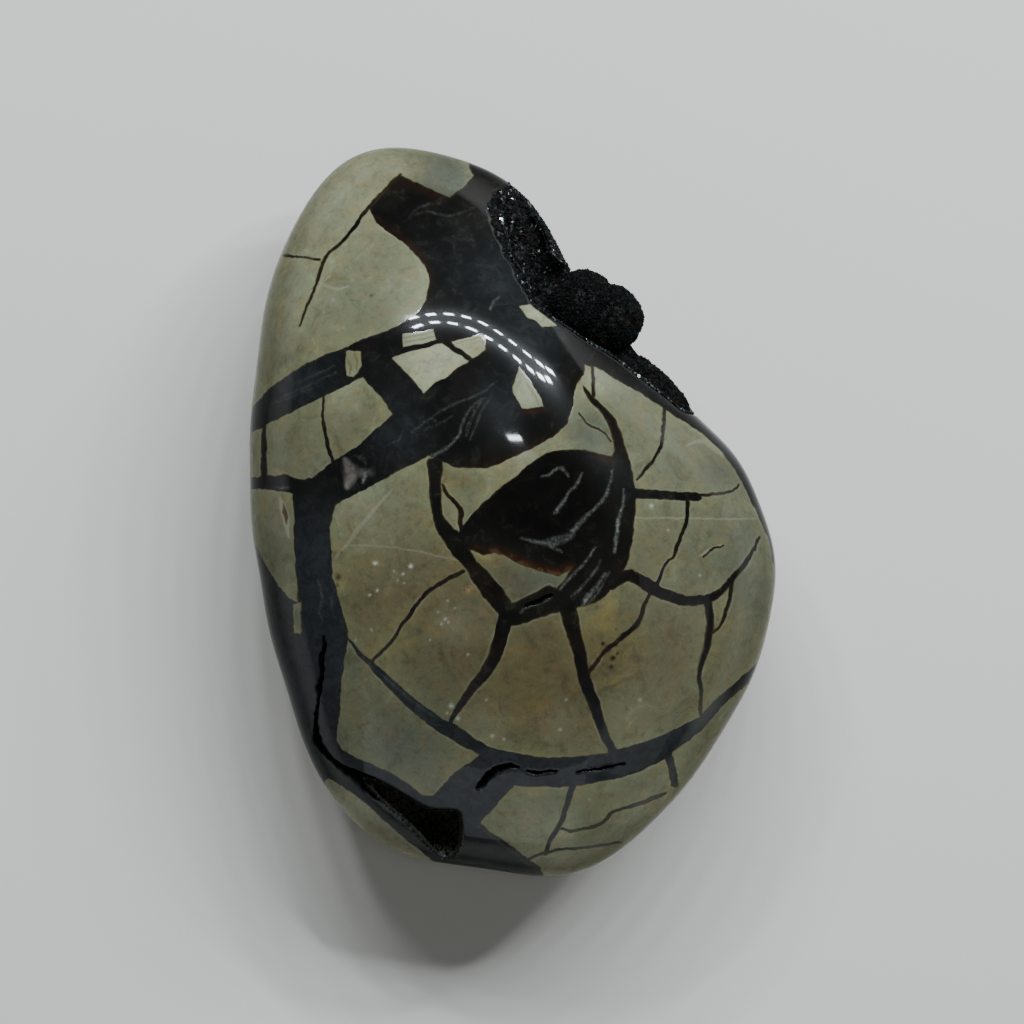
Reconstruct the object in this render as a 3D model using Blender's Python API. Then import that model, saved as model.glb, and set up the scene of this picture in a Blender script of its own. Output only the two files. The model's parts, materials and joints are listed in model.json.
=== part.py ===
"""
A polished free-form septarian nodule: one natural stone of grey mudstone panels in black calcite. A
crystal-lined hollow opens in its upper right shoulder, rounded crystal lumps bulge behind the hollow's
polished edge, and a smaller crystal-lined cavity opens near its lower tip.

The stone lies on its back on a small flat spot. The origin is the centre of its plan outline at the
height of that spot. +X is the right of the polished front, +Y its upper end, and +Z is the way the
front faces. Lists of plan points are in millimetres and everything else is in metres.
"""
import math

import bmesh
import bpy
import numpy as np

MM = 0.001

# Driving dimensions
WIDEST_LEVEL = 0.0375
FRONT_RISE = 0.0375
BACK_DROP = 0.0385
CUTTER_TOP = 0.095

# Rounding of the stone from its centre to its widest level, as superellipse exponents
PLAN_EXPONENT = 2.5
RISE_EXPONENT = 2.2

# The front climbs gently towards the upper end
FRONT_CLIMB = 2.4

# Ridge of the polished front: an arc in plan, past which the front falls away towards the upper right
RIDGE_CENTRE = (-0.0138, 0.0066)
RIDGE_RADIUS = 0.0372
RIDGE_SOFTNESS = 0.0026
RIDGE_SLOPE = 0.58
RIDGE_BEARING = math.radians(68)
RIDGE_SPREAD = math.radians(100)

# Gentle waves that hand polishing leaves: (height, radians per metre along X and Y, phase)
POLISH_WAVES = (
    (0.00022, 48.0, 31.0, 0.4),
    (0.00018, -37.0, 62.0, 2.1),
    (0.00012, 83.0, -54.0, 4.4),
)

# Plan outline of the stone without its crystal lumps, clockwise from the upper tip
OUTLINE = (
    (-26.5, 82.5), (-18.5, 82.0), (-9.5, 79.0), (-0.5, 74.0), (6.5, 68.5), (10.0, 61.5),
    (12.5, 54.0), (17.5, 47.5), (25.0, 39.5), (32.0, 32.0), (38.5, 25.0), (47.0, 17.0),
    (52.0, 10.5), (56.0, 2.5), (59.0, -6.5), (59.5, -14.5), (59.0, -22.5), (56.5, -31.5),
    (53.0, -40.5), (48.0, -49.5), (42.5, -57.5), (37.0, -65.0), (31.0, -71.0), (24.5, -76.5),
    (17.5, -80.5), (9.5, -82.5), (0.0, -82.0), (-9.5, -80.0), (-18.5, -79.5), (-25.5, -77.0),
    (-32.0, -73.0), (-38.0, -68.0), (-42.5, -62.0), (-46.0, -55.0), (-49.0, -47.0), (-52.5, -36.0),
    (-55.5, -24.5), (-57.5, -13.0), (-59.0, -2.0), (-59.5, 9.5), (-59.0, 23.0), (-57.5, 36.5),
    (-55.0, 50.5), (-52.0, 59.5), (-48.0, 67.5), (-43.5, 74.0), (-37.5, 79.5), (-32.0, 82.0),
)
OUTLINE_HARMONICS = 15
OUTLINE_STEPS = 8
BEARING_SAMPLES = 720

# Upper right hollow: its mouth in plan, clockwise from the top of its left rim, the height of its floor
# and how that changes with X, and the floor's bumps as (height, radians per metre along X and Y)
HOLLOW_MOUTH = (
    (-3.0, 69.3), (-0.3, 71.6), (2.4, 70.4), (5.1, 67.2), (7.5, 62.8), (9.4, 57.6), (12.5, 56.0),
    (22.0, 58.0), (34.0, 50.0), (44.0, 36.0), (46.0, 24.0), (39.5, 22.5), (35.0, 25.5), (29.0, 30.0),
    (23.0, 34.5), (17.0, 38.0), (12.5, 41.0), (8.5, 43.5), (4.2, 47.0), (3.0, 52.5), (-0.2, 57.0),
    (-1.5, 62.0),
)
HOLLOW_CENTRE = (11.0, 51.0)
HOLLOW_FLOOR = 0.0425
HOLLOW_FALL = -0.25
HOLLOW_RIM_DEPTH = 0.0012
HOLLOW_BUMPS = (0.0006, 900.0, 800.0)

# Lower cavity: its mouth in plan, clockwise from its narrow left end, its deepest floor, how steeply the
# floor climbs away from there, and the floor's bumps
CAVITY_MOUTH = (
    (-33.5, -60.0), (-29.5, -60.5), (-24.0, -63.5), (-18.5, -66.5), (-12.0, -67.0), (-10.0, -69.5),
    (-11.0, -75.0), (-13.5, -78.0), (-17.5, -78.5), (-20.5, -76.5), (-25.0, -71.5), (-30.0, -66.5),
)
CAVITY_CENTRE = (-18.0, -71.0)
CAVITY_FLOOR = 0.0385
CAVITY_CLIMB = 0.9
CAVITY_BUMPS = (0.0005, 1100.0, 1000.0)

# Crystal lumps: (centre in X, Y, half sizes along, across and upwards, turn in plan), in mm and degrees
LUMPS = (
    ((15.6, 46.9), (7.6, 7.8, 9.5), 0.0),
    ((21.6, 43.9), (7.8, 7.5, 9.0), 0.0),
    ((31.2, 27.9), (11.4, 4.7, 7.5), -41.0),
)
LUMP_LEVEL = 0.0385
LUMP_ROUGHNESS = 0.035
LUMP_BUMPS = (5.1, 4.7, 5.3)

# Fineness of the surfaces
BODY_CUTS = 24
MOUTH_STEPS = 2
BOWL_RINGS = (1.0, 0.94, 0.78, 0.58, 0.38, 0.18)
LUMP_SUBDIVISIONS = 3

SHARP_ANGLE = math.radians(38)

# Halvings that settle where a point lies between the origin and the outline, and the furthest it may lie
SHARE_ROUNDS = 30
SHARE_LIMIT = 1.2
REACH_ROUNDS = 40
REACH_LIMIT = 2.0

# Plain colours and roughness of the two kinds of surface
POLISHED_LOOK = ((0.23, 0.22, 0.17), 0.12)
CRYSTAL_LOOK = ((0.012, 0.011, 0.010), 0.25)


def closed_curve(points, steps):
    """Points of a smooth closed curve through the given ones, with steps to each stretch."""
    p1 = np.array(points, dtype=float)
    p0, p2, p3 = np.roll(p1, 1, axis=0), np.roll(p1, -1, axis=0), np.roll(p1, -2, axis=0)
    curve = []
    for t in np.arange(steps) / steps:
        curve.append(
            0.5 * (2 * p1 + (p2 - p0) * t + (2 * p0 - 5 * p1 + 4 * p2 - p3) * t**2
                   + (3 * p1 - p0 - 3 * p2 + p3) * t**3)
        )
    return np.stack(curve, axis=1).reshape(-1, 2)


def outline_terms():
    """The outline's radius about the origin, as Fourier terms of the bearing."""
    curve = closed_curve(OUTLINE, OUTLINE_STEPS) * MM
    bearing = np.arctan2(curve[:, 1], curve[:, 0])
    order = np.argsort(bearing)
    radius = np.hypot(curve[:, 0], curve[:, 1])[order]
    samples = np.arange(BEARING_SAMPLES) / BEARING_SAMPLES * 2 * math.pi - math.pi
    even = np.interp(samples, bearing[order], radius, period=2 * math.pi)
    terms = np.fft.rfft(even)[:OUTLINE_HARMONICS + 1] / BEARING_SAMPLES
    return terms * np.exp(1j * math.pi * np.arange(OUTLINE_HARMONICS + 1))


TERMS = outline_terms()


def plan_radius(bearing, share):
    """Radius of the plan contour that lies at a share of the outline: inner contours are rounder."""
    radius = np.full_like(bearing, TERMS[0].real)
    for order in range(1, OUTLINE_HARMONICS + 1):
        wave = 2 * np.real(TERMS[order] * np.exp(1j * order * bearing))
        radius += wave * share ** max(order - 2, 0)
    return radius


def polish_waves(x, y):
    """Height of the gentle waves over a plan point."""
    height = np.zeros_like(x)
    for size, turns_x, turns_y, phase in POLISH_WAVES:
        height += size * np.sin(turns_x * x + turns_y * y + phase)
    return height


def front_rise(x, y):
    """Rise of the front above the widest level, before it rounds down to the outline."""
    dx, dy = x - RIDGE_CENTRE[0], y - RIDGE_CENTRE[1]
    beyond = np.hypot(dx, dy) - RIDGE_RADIUS
    turn = (np.arctan2(dy, dx) - RIDGE_BEARING + math.pi) % (2 * math.pi) - math.pi
    window = np.cos(np.clip(turn / RIDGE_SPREAD, -1, 1) * math.pi / 2) ** 2
    fall = RIDGE_SLOPE * RIDGE_SOFTNESS * np.logaddexp(0, beyond / RIDGE_SOFTNESS)
    return FRONT_RISE * (1 + FRONT_CLIMB * y) - fall * window + polish_waves(x, y)


def contour_share(x, y):
    """Share of the outline at which a plan point lies, 0 at the origin and 1 on the outline."""
    bearing, distance = np.arctan2(y, x), np.hypot(x, y)
    share = distance / plan_radius(bearing, np.ones_like(bearing))
    for _ in range(SHARE_ROUNDS):
        share = 0.5 * (share + np.clip(distance / plan_radius(bearing, share), 0, SHARE_LIMIT))
    return share


def front_height(x, y):
    """Height of the polished front over a plan point, and the widest level outside the outline."""
    share = np.clip(contour_share(x, y), 0, 1)
    return WIDEST_LEVEL + (1 - share**PLAN_EXPONENT) ** (1 / RISE_EXPONENT) * front_rise(x, y)


def stone_surface(directions):
    """Points of the stone's outside in the given unit directions from its middle."""
    across = np.hypot(directions[:, 0], directions[:, 1])
    upward = np.abs(directions[:, 2])
    low, high = np.zeros(len(directions)), np.full(len(directions), REACH_LIMIT)
    for _ in range(REACH_ROUNDS):
        reach = 0.5 * (low + high)
        outside = (reach * across) ** PLAN_EXPONENT + (reach * upward) ** RISE_EXPONENT > 1
        low, high = np.where(outside, low, reach), np.where(outside, reach, high)
    share, level = reach * across, reach * upward
    bearing = np.arctan2(directions[:, 1], directions[:, 0])
    radius = share * plan_radius(bearing, share)
    x, y = radius * np.cos(bearing), radius * np.sin(bearing)
    z = np.where(directions[:, 2] > 0, level * front_rise(x, y), -level * BACK_DROP)
    return np.stack([x, y, WIDEST_LEVEL + z], axis=1)


def new_object(name, bm, material):
    """An object from a bmesh, shaded smooth with its sharp edges kept."""
    bmesh.ops.recalc_face_normals(bm, faces=bm.faces[:])
    mesh = bpy.data.meshes.new(name)
    bm.to_mesh(mesh)
    bm.free()
    mesh.shade_smooth()
    mesh.set_sharp_from_angle(angle=SHARP_ANGLE)
    mesh.materials.append(material)
    obj = bpy.data.objects.new(name, mesh)
    bpy.context.scene.collection.objects.link(obj)
    return obj


def plain_material(name, colour, roughness):
    """A non-metallic material of one colour."""
    material = bpy.data.materials.new(name)
    material.use_nodes = True
    shader = material.node_tree.nodes["Principled BSDF"]
    shader.inputs["Base Color"].default_value = (*colour, 1)
    shader.inputs["Roughness"].default_value = roughness
    shader.inputs["Metallic"].default_value = 0.0
    return material


def make_stone(material):
    """The whole stone before its hollow and cavity, ground flat where it rests."""
    bm = bmesh.new()
    bmesh.ops.create_cube(bm, size=2)
    bmesh.ops.subdivide_edges(bm, edges=bm.edges[:], cuts=BODY_CUTS, use_grid_fill=True)
    cube = np.array([vert.co[:] for vert in bm.verts])
    even = np.tan(cube * math.pi / 4)
    directions = even / np.linalg.norm(even, axis=1)[:, None]
    for vert, point in zip(bm.verts, stone_surface(directions)):
        vert.co = point
    everything = bm.verts[:] + bm.edges[:] + bm.faces[:]
    bmesh.ops.bisect_plane(bm, geom=everything, plane_co=(0, 0, 0), plane_no=(0, 0, 1), clear_inner=True)
    bmesh.ops.holes_fill(bm, edges=[edge for edge in bm.edges if edge.is_boundary], sides=0)
    return new_object("nodule", bm, material)


def make_bowl(name, mouth, centre, floor, material):
    """A cutter over a plan mouth, with upright walls and a floor whose height is a function of plan."""
    edge = closed_curve(mouth, MOUTH_STEPS) * MM
    middle = np.array(centre) * MM
    bm = bmesh.new()
    rings = [[bm.verts.new((x, y, CUTTER_TOP)) for x, y in edge]]
    for share in BOWL_RINGS:
        plan = middle + (edge - middle) * share
        heights = floor(plan[:, 0], plan[:, 1])
        rings.append([bm.verts.new((x, y, z)) for (x, y), z in zip(plan, heights)])
    count = len(edge)
    for upper, lower in zip(rings, rings[1:]):
        for i in range(count):
            j = (i + 1) % count
            bm.faces.new((upper[i], upper[j], lower[j], lower[i]))
    bm.faces.new(rings[0])
    bottom = bm.verts.new((*middle, float(floor(middle[:1], middle[1:])[0])))
    for i in range(count):
        bm.faces.new((rings[-1][i], rings[-1][(i + 1) % count], bottom))
    return as_guide(new_object(name, bm, material))


def bumps(x, y, size, turns_x, turns_y):
    """Height of a floor's bumps over a plan point."""
    return size * np.sin(x * turns_x) * np.sin(y * turns_y)


def hollow_floor(x, y):
    """Floor of the upper right hollow: it falls to the right and stays a little below the skin."""
    basin = HOLLOW_FLOOR + HOLLOW_FALL * (x - HOLLOW_CENTRE[0] * MM) + bumps(x, y, *HOLLOW_BUMPS)
    return np.minimum(basin, front_height(x, y) - HOLLOW_RIM_DEPTH)


def cavity_floor(x, y):
    """Floor of the lower cavity: deepest at its wide end, and shallow towards its narrow one."""
    away = np.hypot(x - CAVITY_CENTRE[0] * MM, y - CAVITY_CENTRE[1] * MM)
    basin = CAVITY_FLOOR + CAVITY_CLIMB * away + bumps(x, y, *CAVITY_BUMPS)
    return np.minimum(basin, front_height(x, y) - HOLLOW_RIM_DEPTH)


def make_lump(name, place, half_sizes, turn, material):
    """A rounded lump of crystals, an ellipsoid with a knobbly surface."""
    bm = bmesh.new()
    bmesh.ops.create_icosphere(bm, subdivisions=LUMP_SUBDIVISIONS, radius=1)
    angle = math.radians(turn)
    for vert in bm.verts:
        knobs = math.sin(LUMP_BUMPS[0] * vert.co.x + place[0]) * math.sin(LUMP_BUMPS[1] * vert.co.y)
        knobs += math.sin(LUMP_BUMPS[2] * vert.co.z)
        along, across, upward = vert.co * (1 + LUMP_ROUGHNESS * knobs)
        along, across = along * half_sizes[0] * MM, across * half_sizes[1] * MM
        vert.co.x = place[0] * MM + along * math.cos(angle) - across * math.sin(angle)
        vert.co.y = place[1] * MM + along * math.sin(angle) + across * math.cos(angle)
        vert.co.z = LUMP_LEVEL + upward * half_sizes[2] * MM
    return as_guide(new_object(name, bm, material))


def as_guide(obj):
    """Marks a shape that only cuts or adds to the stone."""
    obj.hide_render = True
    obj.display_type = "WIRE"
    return obj


def combine(stone, operation, other):
    """Cuts a shape from the stone, or grows it on."""
    modifier = stone.modifiers.new(f"{operation.lower()}_{other.name}", "BOOLEAN")
    modifier.operation = operation
    modifier.solver = "EXACT"
    modifier.object = other
    modifier.material_mode = "TRANSFER"


def main():
    for obj in list(bpy.data.objects):
        bpy.data.objects.remove(obj)
    polished = plain_material("polished_mudstone", *POLISHED_LOOK)
    crystals = plain_material("black_crystals", *CRYSTAL_LOOK)
    stone = make_stone(polished)
    hollow = make_bowl("hollow_cutter", HOLLOW_MOUTH, HOLLOW_CENTRE, hollow_floor, crystals)
    cavity = make_bowl("cavity_cutter", CAVITY_MOUTH, CAVITY_CENTRE, cavity_floor, crystals)
    combine(stone, "DIFFERENCE", hollow)
    combine(stone, "DIFFERENCE", cavity)
    for number, (place, half_sizes, turn) in enumerate(LUMPS, start=1):
        lump = make_lump(f"lump_{number}", place, half_sizes, turn, crystals)
        combine(stone, "UNION", lump)


main()
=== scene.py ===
"""
The finished surface of a polished septarian nodule: panels of grey-olive mudstone, the black calcite
veins between them, and the druse of small calcite crystals in its open hollow and cavity.

The skin is one fine mesh over the same shape as the solid. It is refined along every vein border and
cut there, so each border is a real edge between the mudstone pieces and the calcite pieces. The vein
map of the front is a set of named routes and outlines in picture points, x to the right and y down, in
a frame of 1024 by 1024 that is centred over the stone's origin.
"""
import json
import math

import bpy
import numpy as np
from mathutils import Matrix, Vector

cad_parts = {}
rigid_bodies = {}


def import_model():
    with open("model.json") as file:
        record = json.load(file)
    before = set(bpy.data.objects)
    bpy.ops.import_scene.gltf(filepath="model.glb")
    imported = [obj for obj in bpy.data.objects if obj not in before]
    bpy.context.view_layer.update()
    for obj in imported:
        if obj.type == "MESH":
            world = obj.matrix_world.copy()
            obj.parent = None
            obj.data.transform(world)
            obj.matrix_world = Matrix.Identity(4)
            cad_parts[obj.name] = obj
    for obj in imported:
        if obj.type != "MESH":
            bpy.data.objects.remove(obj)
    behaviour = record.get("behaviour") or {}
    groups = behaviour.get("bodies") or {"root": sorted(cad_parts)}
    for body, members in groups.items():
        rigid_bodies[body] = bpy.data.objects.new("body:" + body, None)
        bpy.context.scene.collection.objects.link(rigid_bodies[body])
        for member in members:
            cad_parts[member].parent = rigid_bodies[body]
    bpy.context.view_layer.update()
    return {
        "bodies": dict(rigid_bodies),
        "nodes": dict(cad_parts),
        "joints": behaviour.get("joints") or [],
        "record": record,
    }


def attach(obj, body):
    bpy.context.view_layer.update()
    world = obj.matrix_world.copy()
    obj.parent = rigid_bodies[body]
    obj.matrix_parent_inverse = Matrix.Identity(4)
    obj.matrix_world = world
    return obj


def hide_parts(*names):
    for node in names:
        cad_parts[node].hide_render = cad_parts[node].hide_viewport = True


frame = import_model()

MM = 0.001

# The picture frame that the vein map is drawn in, seen from straight above
FRAME_CENTRE = 512.0
MM_PER_POINT = 0.2266
CAMERA_DISTANCE = 2.0

# The stone's shape, in metres
WIDEST_LEVEL = 0.0375
FRONT_RISE = 0.0375
BACK_DROP = 0.0385
PLAN_EXPONENT = 2.5
RISE_EXPONENT = 2.2
FRONT_CLIMB = 2.4
RIDGE_CENTRE = (-0.0138, 0.0066)
RIDGE_RADIUS = 0.0372
RIDGE_SOFTNESS = 0.0026
RIDGE_SLOPE = 0.58
RIDGE_BEARING = math.radians(68)
RIDGE_SPREAD = math.radians(100)

# Gentle waves that hand polishing leaves: (height, radians per metre along X and Y, phase)
POLISH_WAVES = (
    (0.00022, 48.0, 31.0, 0.4),
    (0.00018, -37.0, 62.0, 2.1),
    (0.00012, 83.0, -54.0, 4.4),
)

# Plan outline of the stone without its crystal lumps, clockwise from the upper tip, in millimetres
OUTLINE = (
    (-26.5, 82.5), (-18.5, 82.0), (-9.5, 79.0), (-0.5, 74.0), (6.5, 68.5), (10.0, 61.5),
    (12.5, 54.0), (17.5, 47.5), (25.0, 39.5), (32.0, 32.0), (38.5, 25.0), (47.0, 17.0),
    (52.0, 10.5), (56.0, 2.5), (59.0, -6.5), (59.5, -14.5), (59.0, -22.5), (56.5, -31.5),
    (53.0, -40.5), (48.0, -49.5), (42.5, -57.5), (37.0, -65.0), (31.0, -71.0), (24.5, -76.5),
    (17.5, -80.5), (9.5, -82.5), (0.0, -82.0), (-9.5, -80.0), (-18.5, -79.5), (-25.5, -77.0),
    (-32.0, -73.0), (-38.0, -68.0), (-42.5, -62.0), (-46.0, -55.0), (-49.0, -47.0), (-52.5, -36.0),
    (-55.5, -24.5), (-57.5, -13.0), (-59.0, -2.0), (-59.5, 9.5), (-59.0, 23.0), (-57.5, 36.5),
    (-55.0, 50.5), (-52.0, 59.5), (-48.0, 67.5), (-43.5, 74.0), (-37.5, 79.5), (-32.0, 82.0),
)
OUTLINE_HARMONICS = 15

# Upper right hollow, in millimetres: its mouth in plan, clockwise from the top of its left rim
HOLLOW_MOUTH = (
    (-3.0, 69.3), (-0.3, 71.6), (2.4, 70.4), (5.1, 67.2), (7.5, 62.8), (9.4, 57.6), (12.5, 56.0),
    (22.0, 58.0), (34.0, 50.0), (44.0, 36.0), (46.0, 24.0), (39.5, 22.5), (35.0, 25.5), (29.0, 30.0),
    (23.0, 34.5), (17.0, 38.0), (12.5, 41.0), (8.5, 43.5), (4.2, 47.0), (3.0, 52.5), (-0.2, 57.0),
    (-1.5, 62.0),
)

# Its floor: middle in plan, height there and slope along X, least depth of both hollows below the skin, and
# ripples, as their height and the radians per metre along X and Y
HOLLOW_CENTRE = (11.0, 51.0)
HOLLOW_FLOOR = 0.0425
HOLLOW_FALL = -0.25
HOLLOW_RIM_DEPTH = 0.0012
HOLLOW_RIPPLE = (0.0006, 900, 800)

# Lower cavity, in millimetres: its mouth in plan, clockwise from its narrow left end
CAVITY_MOUTH = (
    (-33.5, -60.0), (-29.5, -60.5), (-24.0, -63.5), (-18.5, -66.5), (-12.4, -67.0), (-11.2, -69.5),
    (-11.6, -75.0), (-13.5, -78.0), (-16.5, -77.8), (-19.0, -75.2), (-23.4, -70.2), (-28.8, -65.2),
)

# Its floor: deepest place in plan, height there and slope away from it, and ripples
CAVITY_CENTRE = (-18.0, -71.0)
CAVITY_FLOOR = 0.0385
CAVITY_SLOPE = 0.9
CAVITY_RIPPLE = (0.0005, 1100, 1000)

# Bowls of the hollow and the cavity: rings of their walls and floors, lean of the walls inwards as a share
# of the mouth, smallest ring's share, gap between the skin and the walls' top, and height above the bowl of
# the place that all its triangles face
WALL_RINGS = 24
FLOOR_RINGS = 50
WALL_LEAN = 0.05
SMALLEST_RING = 0.02
BOWL_GAP = 0.00005
BOWL_EYE_HEIGHT = 0.02

# Crystal lumps: (centre in X, Y, half sizes along, across and upwards, turn in plan), in mm and degrees
LUMPS = (
    ((15.6, 46.9), (7.6, 7.8, 9.5), 0.0),
    ((21.6, 43.9), (7.8, 7.5, 9.0), 0.0),
    ((31.2, 27.9), (11.4, 4.7, 7.5), -41.0),
)
LUMP_LEVEL = 0.0385
LUMP_CELLS = 40

# Bumps of a lump: share of its size, and their own size on a unit sphere
LUMP_BUMPS = ((0.05, 0.5), (0.03, 0.22))

# Fineness of the skin: cells along a cube edge, rounds of refinement, the shortest edge that these divide on
# the front and on the back, and the depth below the widest level at which the back starts
SKIN_CELLS = 108
REFINE_ROUNDS = 2
FRONT_EDGE_MM = 0.32
BACK_EDGE_MM = 0.6
BACK_START = 0.006

# An edge is divided where a border is nearer than this share of its length
REFINE_SHARE = 0.75

# Step between directions from which the skin's normals are worked out, and rise that counts as upright
NORMAL_STEP = 0.004
UPRIGHT = 0.9

# Rounds after which the searches for a contour and for the surface have settled, and their upper limits
CONTOUR_ROUNDS = 30
CONTOUR_LIMIT = 1.2
SURFACE_ROUNDS = 40
SURFACE_LIMIT = 2.0

# Share of an edge that a cut stays away from its ends
CUT_MARGIN = 0.02

# How far from a border its distance is still worked out, in picture points, and at a mouth in millimetres
REACH = 15.0
MOUTH_REACH = 3.0

# Distances in millimetres that stand for no mouth, no crack and no other panel near
NO_MOUTH = 15.0
NO_CRACK = 30.0
NO_PANEL = 99.0

# How borders and marks wander: how far, over what size in metres, and the phases along X and Y. The front's
# are in picture points, and the back's in millimetres
VEIN_WANDER = ((0.85, 0.0021, 0.0, 9.3), (0.6375, 0.0008, 3.1, 5.7))
CRACK_WANDER = ((1.1, 0.0011, 0.0, 9.3),)
FLANK_WANDER = ((2.0, 0.0022, 0.0, 9.3),)
TONE_WANDER = ((6.0, 0.006, 0.0, 9.3),)
MARK_WANDER = ((0.8, 0.0012, 0.0, 9.3),)
BACK_WANDER = ((2.2, 0.014, 1.0, 4.0), (0.3, 0.003, 2.0, 6.0))

# How far the skin is sunk along borders, as (depth, reach) in millimetres
VEIN_GROOVE = (0.02, 0.2)
CALCITE_SINK = (0.02, 0.4)
CRACK_SINK = (1.9, 0.35)
CRACK_LIP = (0.06, 0.25)
MOUTH_LIP = (0.22, 0.4)
FLANK_SINK = (0.35, 0.8)

# Distance from a border at which the mesh's own normals take over, and the length of that change, in mm
BORDER_NORMALS = 0.9
BORDER_NORMALS_CHANGE = 0.5

# Height up to which a point of the back belongs to the flat spot that the stone rests on
REST_SPOT_MARGIN = 0.0003

# Where the calcite is darkened in and beside an open crack, as painted shade, and is broken beside a mouth,
# lighter there and partly a painted rim sheen: weight there, reach in mm
CRACK_SHADE_EDGE = (1.4, 0.25)
BROKEN_AND_SHEEN_EDGE = (1.2, 0.30)

# Beds of crystals: the crystals' spacing and size in millimetres, and the glint of the brightest, which
# paints them lighter as a painted glint and makes them glossier
DRUSE_BEDS = {
    "hollow": (0.46, 0.62, 1.02),
    "flank": (0.42, 0.54, 0.88),
    "cavity": (0.44, 0.60, 0.35),
    "lump": (0.38, 0.52, 0.50),
}

# Crystals: their corners, proportions, spread of sizes, lean at random, and depth of their middle in the bed
# as a share of their size
CRYSTAL_CORNERS = 8
CRYSTAL_PROPORTIONS = (0.72, 0.72, 0.85)
CRYSTAL_SIZE_SPREAD = 0.25
CRYSTAL_LEAN = 0.28
CRYSTAL_DEPTH = 0.12
CRYSTAL_SEED = 23

# Which crystals show: how far beyond a mouth in millimetres, up to which share of the outline, and how far
# from the rim or below the skin as a share of their size. A lump is inside the stone up to its own share
MOUTH_OVERHANG = 0.1
BOWL_OUTLINE_SHARE = 0.995
RIM_CLEARANCE = 0.3
SKIN_CLEARANCE = 0.5
LUMP_OUTLINE_SHARE = 0.97

# Depth below the skin at which the lower cavity's crystals are as brown and light as they get, and how much:
# partly their own brown, partly painted light that lifts the deep crystals, which get little light
LIT_BROWN_DEPTH = 0.006
MOST_LIT_BROWN = 0.9

# Brightest crystals of the lower cavity, painted lighter as a painted glint and made glossier: their middle
# in plan and their spread, in millimetres
SPARKLE_PLACE = (-15.4, -77.2)
SPARKLE_RADIUS = 2.6
SPARKLE_GAIN = 0.9

# Front vein map, in picture points
CALCITE_REGION = (
    (399, 175), (425, 187), (450, 198), (462, 188), (474, 176), (469, 166), (466, 140), (640, 140),
    (800, 430), (800, 580), (775, 572), (769, 540), (758, 516), (747, 491), (735, 469), (723, 453),
    (709, 439), (689, 425), (664, 409), (639, 392), (616, 379), (597, 368), (585, 365), (584, 374),
    (577, 384), (574, 392), (573, 407), (567, 424), (553, 437), (539, 445), (518, 455), (502, 462),
    (487, 468), (470, 468), (455, 467), (441, 461), (428, 456), (414, 464), (399, 471), (377, 483),
    (352, 495), (335, 505), (329, 529), (331, 552), (332, 575), (339, 600), (348, 632), (347, 644),
    (342, 676), (339, 715), (336, 740), (342, 750), (354, 757), (367, 762), (379, 768), (390, 773),
    (407, 784), (423, 796), (433, 796), (441, 788), (451, 776), (465, 766), (481, 754), (515, 784),
    (480, 823), (494, 834), (511, 846), (528, 859), (540, 868), (548, 890), (480, 910), (330, 880),
    (225, 700), (225, 415), (254, 406), (268, 390), (282, 379), (300, 368), (324, 355), (344, 348),
    (361, 340), (378, 334), (399, 326), (418, 312), (426, 299), (430, 280), (426, 267), (413, 251),
    (396, 237), (377, 224), (370, 208),
)
ARC_VEIN = (
    (346, 636), (362, 653), (380, 668), (406, 692), (440, 717), (457, 726), (485, 745), (506, 751),
    (539, 757), (573, 757), (606, 753), (616, 750), (647, 741), (672, 731), (700, 716), (715, 701),
    (735, 683), (752, 668), (785, 640), (785, 670), (757, 679), (740, 690), (721, 708), (700, 732),
    (675, 750), (662, 761), (636, 773), (606, 781), (569, 787), (540, 786), (514, 785), (497, 770),
    (481, 756), (440, 733), (399, 699), (374, 673), (351, 645),
)
RING_AND_EYE = (
    (428, 459), (429, 476), (430, 494), (433, 520), (442, 539), (454, 556), (465, 568), (483, 596),
    (503, 618), (513, 626), (541, 617), (566, 610), (585, 606), (601, 600), (609, 591), (616, 581),
    (623, 571), (629, 558), (633, 536), (635, 518), (636, 501), (633, 477), (626, 447), (615, 419),
    (604, 406), (593, 396), (583, 385), (586, 395), (597, 408), (607, 422), (613, 440), (613, 456),
    (593, 452), (574, 449), (553, 452), (539, 458), (511, 480), (483, 503), (465, 524), (458, 532),
    (450, 524), (442, 514), (441, 494), (441, 478), (442, 462),
)

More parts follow.
